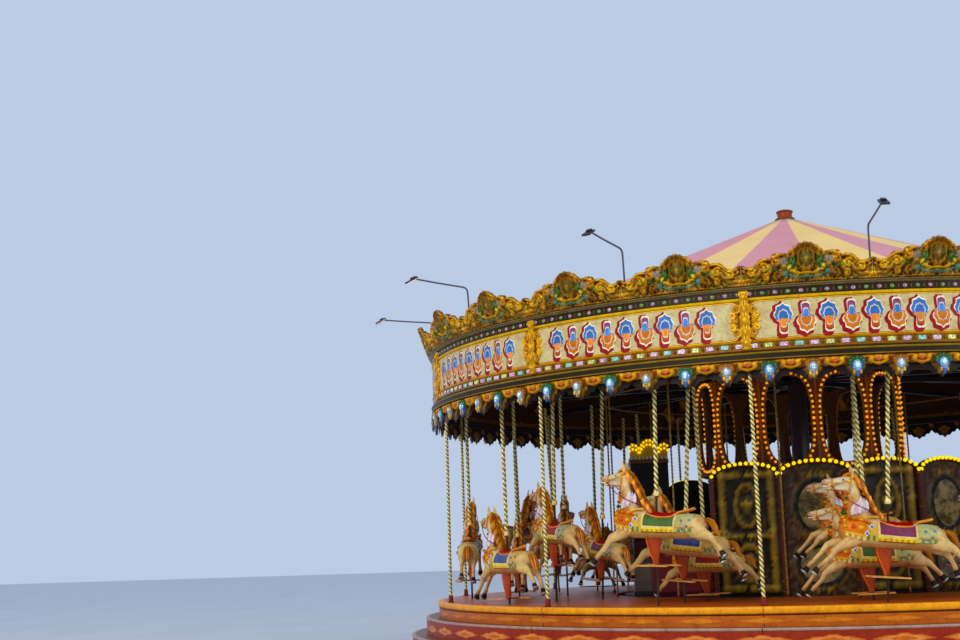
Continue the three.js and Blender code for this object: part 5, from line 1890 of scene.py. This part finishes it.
def carriage():
    """Painted bracket under the belly, both footboards, the plain pole and the collar of its sleeve."""
    carving = Carving()
    stations = ((0.66, -0.16, 0.06), (0.60, -0.155, 0.055), (0.52, -0.13, 0.045), (0.44, -0.10, 0.035),
                (0.36, -0.06, 0.02), (0.312, -0.055, 0.02))
    rings = []
    for z, a, b in stations:
        middle, half = (a + b) / 2, (b - a) / 2
        rings.append([(middle + half * math.cos(a), 0.04 * math.sin(a), z) for a in full_turn(10)])
    carving.add(loft(rings), tone(164, 72, 38))
    for side in (-1, 1):
        # An orange line along the front edge of the bracket on each side: painted highlight.
        carving.add(tube([(a + 0.018, side * 0.034, z) for z, a, b in stations], 0.008, 4), ORANGE)
        outline = rectangle(-0.24, 0.24, side * 0.2 - 0.058, side * 0.2 + 0.058, 0.04, 2)
        points, faces = raised(outline, 0.289, 0.309, 0.006)
        carving.add(([(x, y, z) for x, z, y in points], faces), tone(206, 152, 92))
    carving.add(box((-0.04, -0.16, 0.29), (0.04, 0.16, 0.305)), tone(80, 28, 18))
    pole = [(0, 0, -0.333), (0, 0, SLEEVE_FOOT), (0, 0, 3.69)]
    carving.add(tube(pole, 0.016, 7), tone(60, 48, 34, 0.4))
    collar = [(0, 1.19), (0.036, 1.192), (0.043, 1.21), (0.04, 1.232), (0.036, 1.25), (0, 1.252)]
    carving.add(turned(collar, (0, 0, 0), 10), tone(244, 226, 166, 0.2))
    return carving


SCHEMES = (
    (PURPLE, tone(182, 184, 134), tone(222, 130, 44, 0.2)),
    (BOTTLE_GREEN, tone(190, 186, 132), tone(214, 118, 46, 0.2)),
    (ROYAL_BLUE, tone(214, 176, 106), tone(226, 146, 54, 0.2)),
    (CRIMSON, tone(172, 178, 144), tone(212, 138, 52, 0.2)),
)


def make_horses():
    """Every horse with its pole, bracket and footboards, each on its own body."""
    worn = [harness(scheme) for scheme in SCHEMES]
    under = carriage()
    size = sizes()
    for rank, (row, radius, scale) in enumerate(ROWS):
        shrink = Matrix.Translation((0, 0, FOOTBOARD_TOP * (1 - scale))) @ Matrix.Scale(scale, 4)
        patterns = []
        skin = horse_body_mesh(1.0 if rank == 0 else 0.55)
        skin_colours = [skin_paint(p) for p in skin[0]]
        for index, clothes in enumerate(worn):
            horse = Carving(skin, skin_colours)
            horse.join(clothes)
            horse = horse.moved_by(shrink)
            horse.join(under)
            patterns.append(painted(f"pattern_{row}_{index}", horse, "horse_paint", 50))
        for section in range(SECTIONS):
            lift, lean = THROWS[(section - rank) % 3]
            place = (section_turn(section) @ Matrix.Translation((0, -radius, FLOOR))
                     @ Matrix.Rotation(math.radians(lean), 4, "Y") @ Matrix.Translation((0, 0, lift)))
            name = f"horse_{row}_{section + 1}"
            mesh = patterns[(section + rank) % len(SCHEMES)].data.copy()
            mesh.transform(place)
            kept(linked("dressed_" + name, mesh), name, "horse_paint", name)
            top = min(3.66, 4.12 - FLOOR - lift)
            ends = [place @ Vector((0, 0, SLEEVE_FOOT)), place @ Vector((0, 0, top))]
            sleeve = twisted("sleeve_" + name, [ends], size.sleeve_radius, size.sleeve_ridge_spacing,
                             material("bright_twist"), 8 if rank == 0 else 6)
            kept(sleeve, name, "rod_brass")
        for pattern in patterns:
            bpy.data.objects.remove(pattern)


# Carried-over nodes and the stage

CARRIED = {
    "platform": "varnished_floor", "centre_deck": "deck_timber", "mast": "mast_paint",
    "swifts": "swift_paint", "crank_shafts": "shaft_steel", "maroon_locker": "maroon_paint",
    "grey_locker": "grey_paint",
}


def dress_carried_nodes():
    """Gives each CAD node that stays its own finish."""
    for node, name in CARRIED.items():
        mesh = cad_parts[node].data
        mesh.materials.clear()
        mesh.materials.append(material(name))


def floor_finish():
    """Plain pale ground for the pictures."""
    finish = Finish("studio_floor", Roughness=0.7)
    grain = finish.speckle(0.6, 4.0)
    shades = (tint(0.60, 0.62, 0.65), tint(0.66, 0.68, 0.71))
    finish.set("Base Color", finish.mix(finish.span(grain, 0.3, 0.7), *shades))
    finish.bump(finish.speckle(90.0, 3.0), 0.001, 0.2)
    return finish.material


def make_stage():
    """Pale floor, two soft lights and the camera at the photograph's angle."""
    mesh = bpy.data.meshes.new("floor")
    far, low = 90, -0.002
    corners = [(-far, -far, low), (far, -far, low), (far, far, low), (-far, far, low)]
    mesh.from_pydata(corners, [], [(0, 1, 2, 3)])
    mesh.materials.append(floor_finish())
    linked("floor", mesh)
    bpy.context.scene.view_settings.view_transform = "Standard"
    world = bpy.data.worlds.new("studio")
    bpy.context.scene.world = world
    world.use_nodes = True
    background = world.node_tree.nodes["Background"]
    background.inputs["Color"].default_value = (0.65, 0.78, 1.0, 1.0)
    background.inputs["Strength"].default_value = 0.77
    for name, place, size, power, colour in (
            ("key_light", (-16, -24, 16), 14, 3700, (1.0, 0.96, 0.88)),
            ("fill_light", (18, -20, 9), 12, 1500, (0.95, 0.97, 1.0))):
        light = bpy.data.lights.new(name, "AREA")
        light.energy = power
        light.size = size
        light.color = colour
        lamp = bpy.data.objects.new(name, light)
        bpy.context.scene.collection.objects.link(lamp)
        lamp.location = place
        lamp.rotation_euler = (Vector((0, 0, 2.6)) - Vector(place)).to_track_quat("-Z", "Y").to_euler()
    camera_data = bpy.data.cameras.new("photo_view")
    camera_data.lens = CAMERA_LENS
    camera_data.sensor_width = 36
    camera_data.clip_end = 300
    camera = bpy.data.objects.new("photo_view", camera_data)
    bpy.context.scene.collection.objects.link(camera)
    yaw, pitch, roll = CAMERA_YAW, CAMERA_PITCH, CAMERA_ROLL
    flat_right = Vector((math.cos(yaw), math.sin(yaw), 0))
    ahead = Vector((-math.sin(yaw) * math.cos(pitch), math.cos(yaw) * math.cos(pitch), math.sin(pitch)))
    level_up = Vector((math.sin(yaw) * math.sin(pitch), -math.cos(yaw) * math.sin(pitch), math.cos(pitch)))
    right = flat_right * math.cos(roll) + level_up * math.sin(roll)
    up = level_up * math.cos(roll) - flat_right * math.sin(roll)
    turn = Matrix.Rotation(math.radians(SECTION_OFFSET), 3, "Z")
    axes = Matrix((turn @ right, turn @ up, -(turn @ ahead))).transposed()
    camera.matrix_world = Matrix.Translation(CAMERA_PLACE) @ axes.to_4x4()
    bpy.context.scene.camera = camera


# Settings, buttons and panel

class CarouselSizes(bpy.types.PropertyGroup):
    """Sizes and counts that a user may change."""

    outer_rod_radius: bpy.props.FloatProperty(
        name="Outer rod radius", description="Half the thickness of the twisted rods round the edge",
        default=0.028, min=0.001, subtype="DISTANCE", unit="LENGTH")
    outer_ridge_spacing: bpy.props.FloatProperty(
        name="Outer rod ridge spacing", description="Distance between two ridges of an outer rod",
        default=0.062, min=0.001, subtype="DISTANCE", unit="LENGTH")
    inner_rod_radius: bpy.props.FloatProperty(
        name="Inner rod radius", description="Half the thickness of the twisted rods round the centre",
        default=0.017, min=0.001, subtype="DISTANCE", unit="LENGTH")
    inner_ridge_spacing: bpy.props.FloatProperty(
        name="Inner rod ridge spacing", description="Distance between two ridges of an inner rod",
        default=0.056, min=0.001, subtype="DISTANCE", unit="LENGTH")
    sleeve_radius: bpy.props.FloatProperty(
        name="Sleeve radius", description="Half the thickness of the twisted sleeve on each horse's pole",
        default=0.032, min=0.001, subtype="DISTANCE", unit="LENGTH")
    sleeve_ridge_spacing: bpy.props.FloatProperty(
        name="Sleeve ridge spacing", description="Distance between two ridges of a sleeve",
        default=0.075, min=0.001, subtype="DISTANCE", unit="LENGTH")
    arch_bulb_spacing: bpy.props.FloatProperty(
        name="Arch bulb spacing", description="Distance between bulbs along the centre arches",
        default=0.083, min=0.001, subtype="DISTANCE", unit="LENGTH")
    arch_bulb_radius: bpy.props.FloatProperty(
        name="Arch bulb radius", description="Radius of a bulb on the centre arches",
        default=0.03, min=0.001, subtype="DISTANCE", unit="LENGTH")
    oval_bulb_spacing: bpy.props.FloatProperty(
        name="Oval bulb spacing", description="Distance between bulbs round the drum's ovals",
        default=0.085, min=0.001, subtype="DISTANCE", unit="LENGTH")
    oval_bulb_radius: bpy.props.FloatProperty(
        name="Oval bulb radius", description="Radius of a bulb on the drum",
        default=0.022, min=0.001, subtype="DISTANCE", unit="LENGTH")
    canvas_slack: bpy.props.FloatProperty(
        name="Canvas slack", description="How far the canvas hangs between two rafters",
        default=0.055, min=0.001, subtype="DISTANCE", unit="LENGTH")
    clouds_per_section: bpy.props.IntProperty(
        name="Clouds per section", description="Painted clouds on a riser in each twelfth",
        default=4, min=1, max=12)
    motifs_per_board: bpy.props.IntProperty(
        name="Motifs per board", description="Painted motifs in the row of each board",
        default=9, min=3, max=15)
    jewels_per_board: bpy.props.IntProperty(
        name="Jewels per board", description="Square jewels under each board", default=17, min=5, max=40)
    horse_skin_faces: bpy.props.IntProperty(
        name="Horse skin faces", description="Triangles kept in the carved body of an outer horse",
        default=3400, min=1500, max=12000)


class CarouselColours(bpy.types.PropertyGroup):
    """Paint that a user may change."""

    cream_stripe: bpy.props.FloatVectorProperty(
        name="Cream stripe", description="Pale stripe of the canvas",
        default=tone(244, 210, 146)[:3], min=0, max=1, size=3, subtype="COLOR")
    pink_stripe: bpy.props.FloatVectorProperty(
        name="Pink stripe", description="Darker stripe of the canvas",
        default=tone(214, 150, 156)[:3], min=0, max=1, size=3, subtype="COLOR")
    board_panel: bpy.props.FloatVectorProperty(
        name="Board panel", description="Ground of the painted boards",
        default=tone(208, 194, 148)[:3], min=0, max=1, size=3, subtype="COLOR")
    motif_upper: bpy.props.FloatVectorProperty(
        name="Motif, upper half", description="Petals of the painted motifs",
        default=tone(78, 126, 196)[:3], min=0, max=1, size=3, subtype="COLOR")
    motif_lower: bpy.props.FloatVectorProperty(
        name="Motif, lower half", description="Foot of the painted motifs",
        default=tone(222, 136, 72)[:3], min=0, max=1, size=3, subtype="COLOR")
    nosing: bpy.props.FloatVectorProperty(
        name="Platform nosing", description="Rounded edge of the platform",
        default=tone(240, 168, 30)[:3], min=0, max=1, size=3, subtype="COLOR")
    upper_riser: bpy.props.FloatVectorProperty(
        name="Upper riser", description="Riser under the platform",
        default=tone(186, 104, 36)[:3], min=0, max=1, size=3, subtype="COLOR")
    lower_riser: bpy.props.FloatVectorProperty(
        name="Lower risers", description="Risers of the two steps",
        default=tone(150, 54, 24)[:3], min=0, max=1, size=3, subtype="COLOR")
    coat: bpy.props.FloatVectorProperty(
        name="Coat", description="Body colour of the horses",
        default=tone(222, 190, 136)[:3], min=0, max=1, size=3, subtype="COLOR")
    mane: bpy.props.FloatVectorProperty(
        name="Mane and tail", description="Carved hair of the horses",
        default=tone(226, 146, 44)[:3], min=0, max=1, size=3, subtype="COLOR")


class CAROUSEL_OT_stage(bpy.types.Operator):
    """Build the floor, the lights and the camera"""

    bl_idname = "carousel.stage"
    bl_label = "Stage"

    def execute(self, context):
        make_stage()
        return {"FINISHED"}


class CAROUSEL_OT_carried(bpy.types.Operator):
    """Paint the parts that keep their own shape"""

    bl_idname = "carousel.carried"
    bl_label = "Carried parts"

    def execute(self, context):
        dress_carried_nodes()
        return {"FINISHED"}


class CAROUSEL_OT_steps(bpy.types.Operator):
    """Build the two round steps and the platform's nosing"""

    bl_idname = "carousel.steps"
    bl_label = "Steps and edge"

    def execute(self, context):
        make_steps()
        make_edge()
        return {"FINISHED"}


class CAROUSEL_OT_rods(bpy.types.Operator):
    """Build the outer and inner rods with their sockets"""

    bl_idname = "carousel.rods"
    bl_label = "Twisted rods"

    def execute(self, context):
        make_rods()
        return {"FINISHED"}


class CAROUSEL_OT_boards(bpy.types.Operator):
    """Build the painted boards and the mouldings round them"""

    bl_idname = "carousel.boards"
    bl_label = "Boards"

    def execute(self, context):
        make_boards()
        make_cornices()
        return {"FINISHED"}


class CAROUSEL_OT_carving(bpy.types.Operator):
    """Build the cresting, the droppers and the inner valance"""

    bl_idname = "carousel.carving"
    bl_label = "Carving"

    def execute(self, context):
        make_crests()
        make_droppers()
        make_valance()
        return {"FINISHED"}


class CAROUSEL_OT_roof(bpy.types.Operator):
    """Build the striped canvas and its cap"""

    bl_idname = "carousel.roof"
    bl_label = "Roof"

    def execute(self, context):
        make_tilt()
        make_cap()
        return {"FINISHED"}


class CAROUSEL_OT_lamps(bpy.types.Operator):
    """Build the gooseneck lamps"""

    bl_idname = "carousel.lamps"
    bl_label = "Lamps"

    def execute(self, context):
        make_lamps()
        return {"FINISHED"}


class CAROUSEL_OT_centre(bpy.types.Operator):
    """Build the drum, the arched panels, the cabin and the locker lids"""

    bl_idname = "carousel.centre"
    bl_label = "Centre"

    def execute(self, context):
        make_drum()
        make_panels()
        make_cabin()
        return {"FINISHED"}


class CAROUSEL_OT_horses(bpy.types.Operator):
    """Build every horse with its pole and footboards"""

    bl_idname = "carousel.horses"
    bl_label = "Horses"

    def execute(self, context):
        make_horses()
        return {"FINISHED"}


class CAROUSEL_PT_pieces(bpy.types.Panel):
    """Lists the settings and a button for each group of pieces."""

    bl_idname = "CAROUSEL_PT_pieces"
    bl_label = "Carousel"
    bl_space_type = "VIEW_3D"
    bl_region_type = "UI"
    bl_category = "Carousel"

    def draw(self, context):
        for group in (context.scene.carousel_sizes, context.scene.carousel_colours):
            for key in group.__annotations__:
                self.layout.prop(group, key)
        for operator in OPERATORS:
            self.layout.operator(operator.bl_idname)


OPERATORS = (
    CAROUSEL_OT_stage, CAROUSEL_OT_carried, CAROUSEL_OT_steps, CAROUSEL_OT_rods,
    CAROUSEL_OT_boards, CAROUSEL_OT_carving, CAROUSEL_OT_roof, CAROUSEL_OT_lamps,
    CAROUSEL_OT_centre, CAROUSEL_OT_horses,
)
CLASSES = (CarouselSizes, CarouselColours) + OPERATORS + (CAROUSEL_PT_pieces,)


def register():
    for kind in CLASSES:
        bpy.utils.register_class(kind)
    bpy.types.Scene.carousel_sizes = bpy.props.PointerProperty(
        type=CarouselSizes, name="Carousel sizes", description="Sizes of the carousel's pieces")
    bpy.types.Scene.carousel_colours = bpy.props.PointerProperty(
        type=CarouselColours, name="Carousel colours", description="Paint of the carousel's pieces")


def unregister():
    del bpy.types.Scene.carousel_colours
    del bpy.types.Scene.carousel_sizes
    for kind in reversed(CLASSES):
        bpy.utils.unregister_class(kind)


def main():
    register()
    bpy.ops.carousel.stage()
    bpy.ops.carousel.carried()
    bpy.ops.carousel.steps()
    bpy.ops.carousel.rods()
    bpy.ops.carousel.boards()
    bpy.ops.carousel.carving()
    bpy.ops.carousel.roof()
    bpy.ops.carousel.lamps()
    bpy.ops.carousel.centre()
    bpy.ops.carousel.horses()


if __name__ == "__main__":
    main()
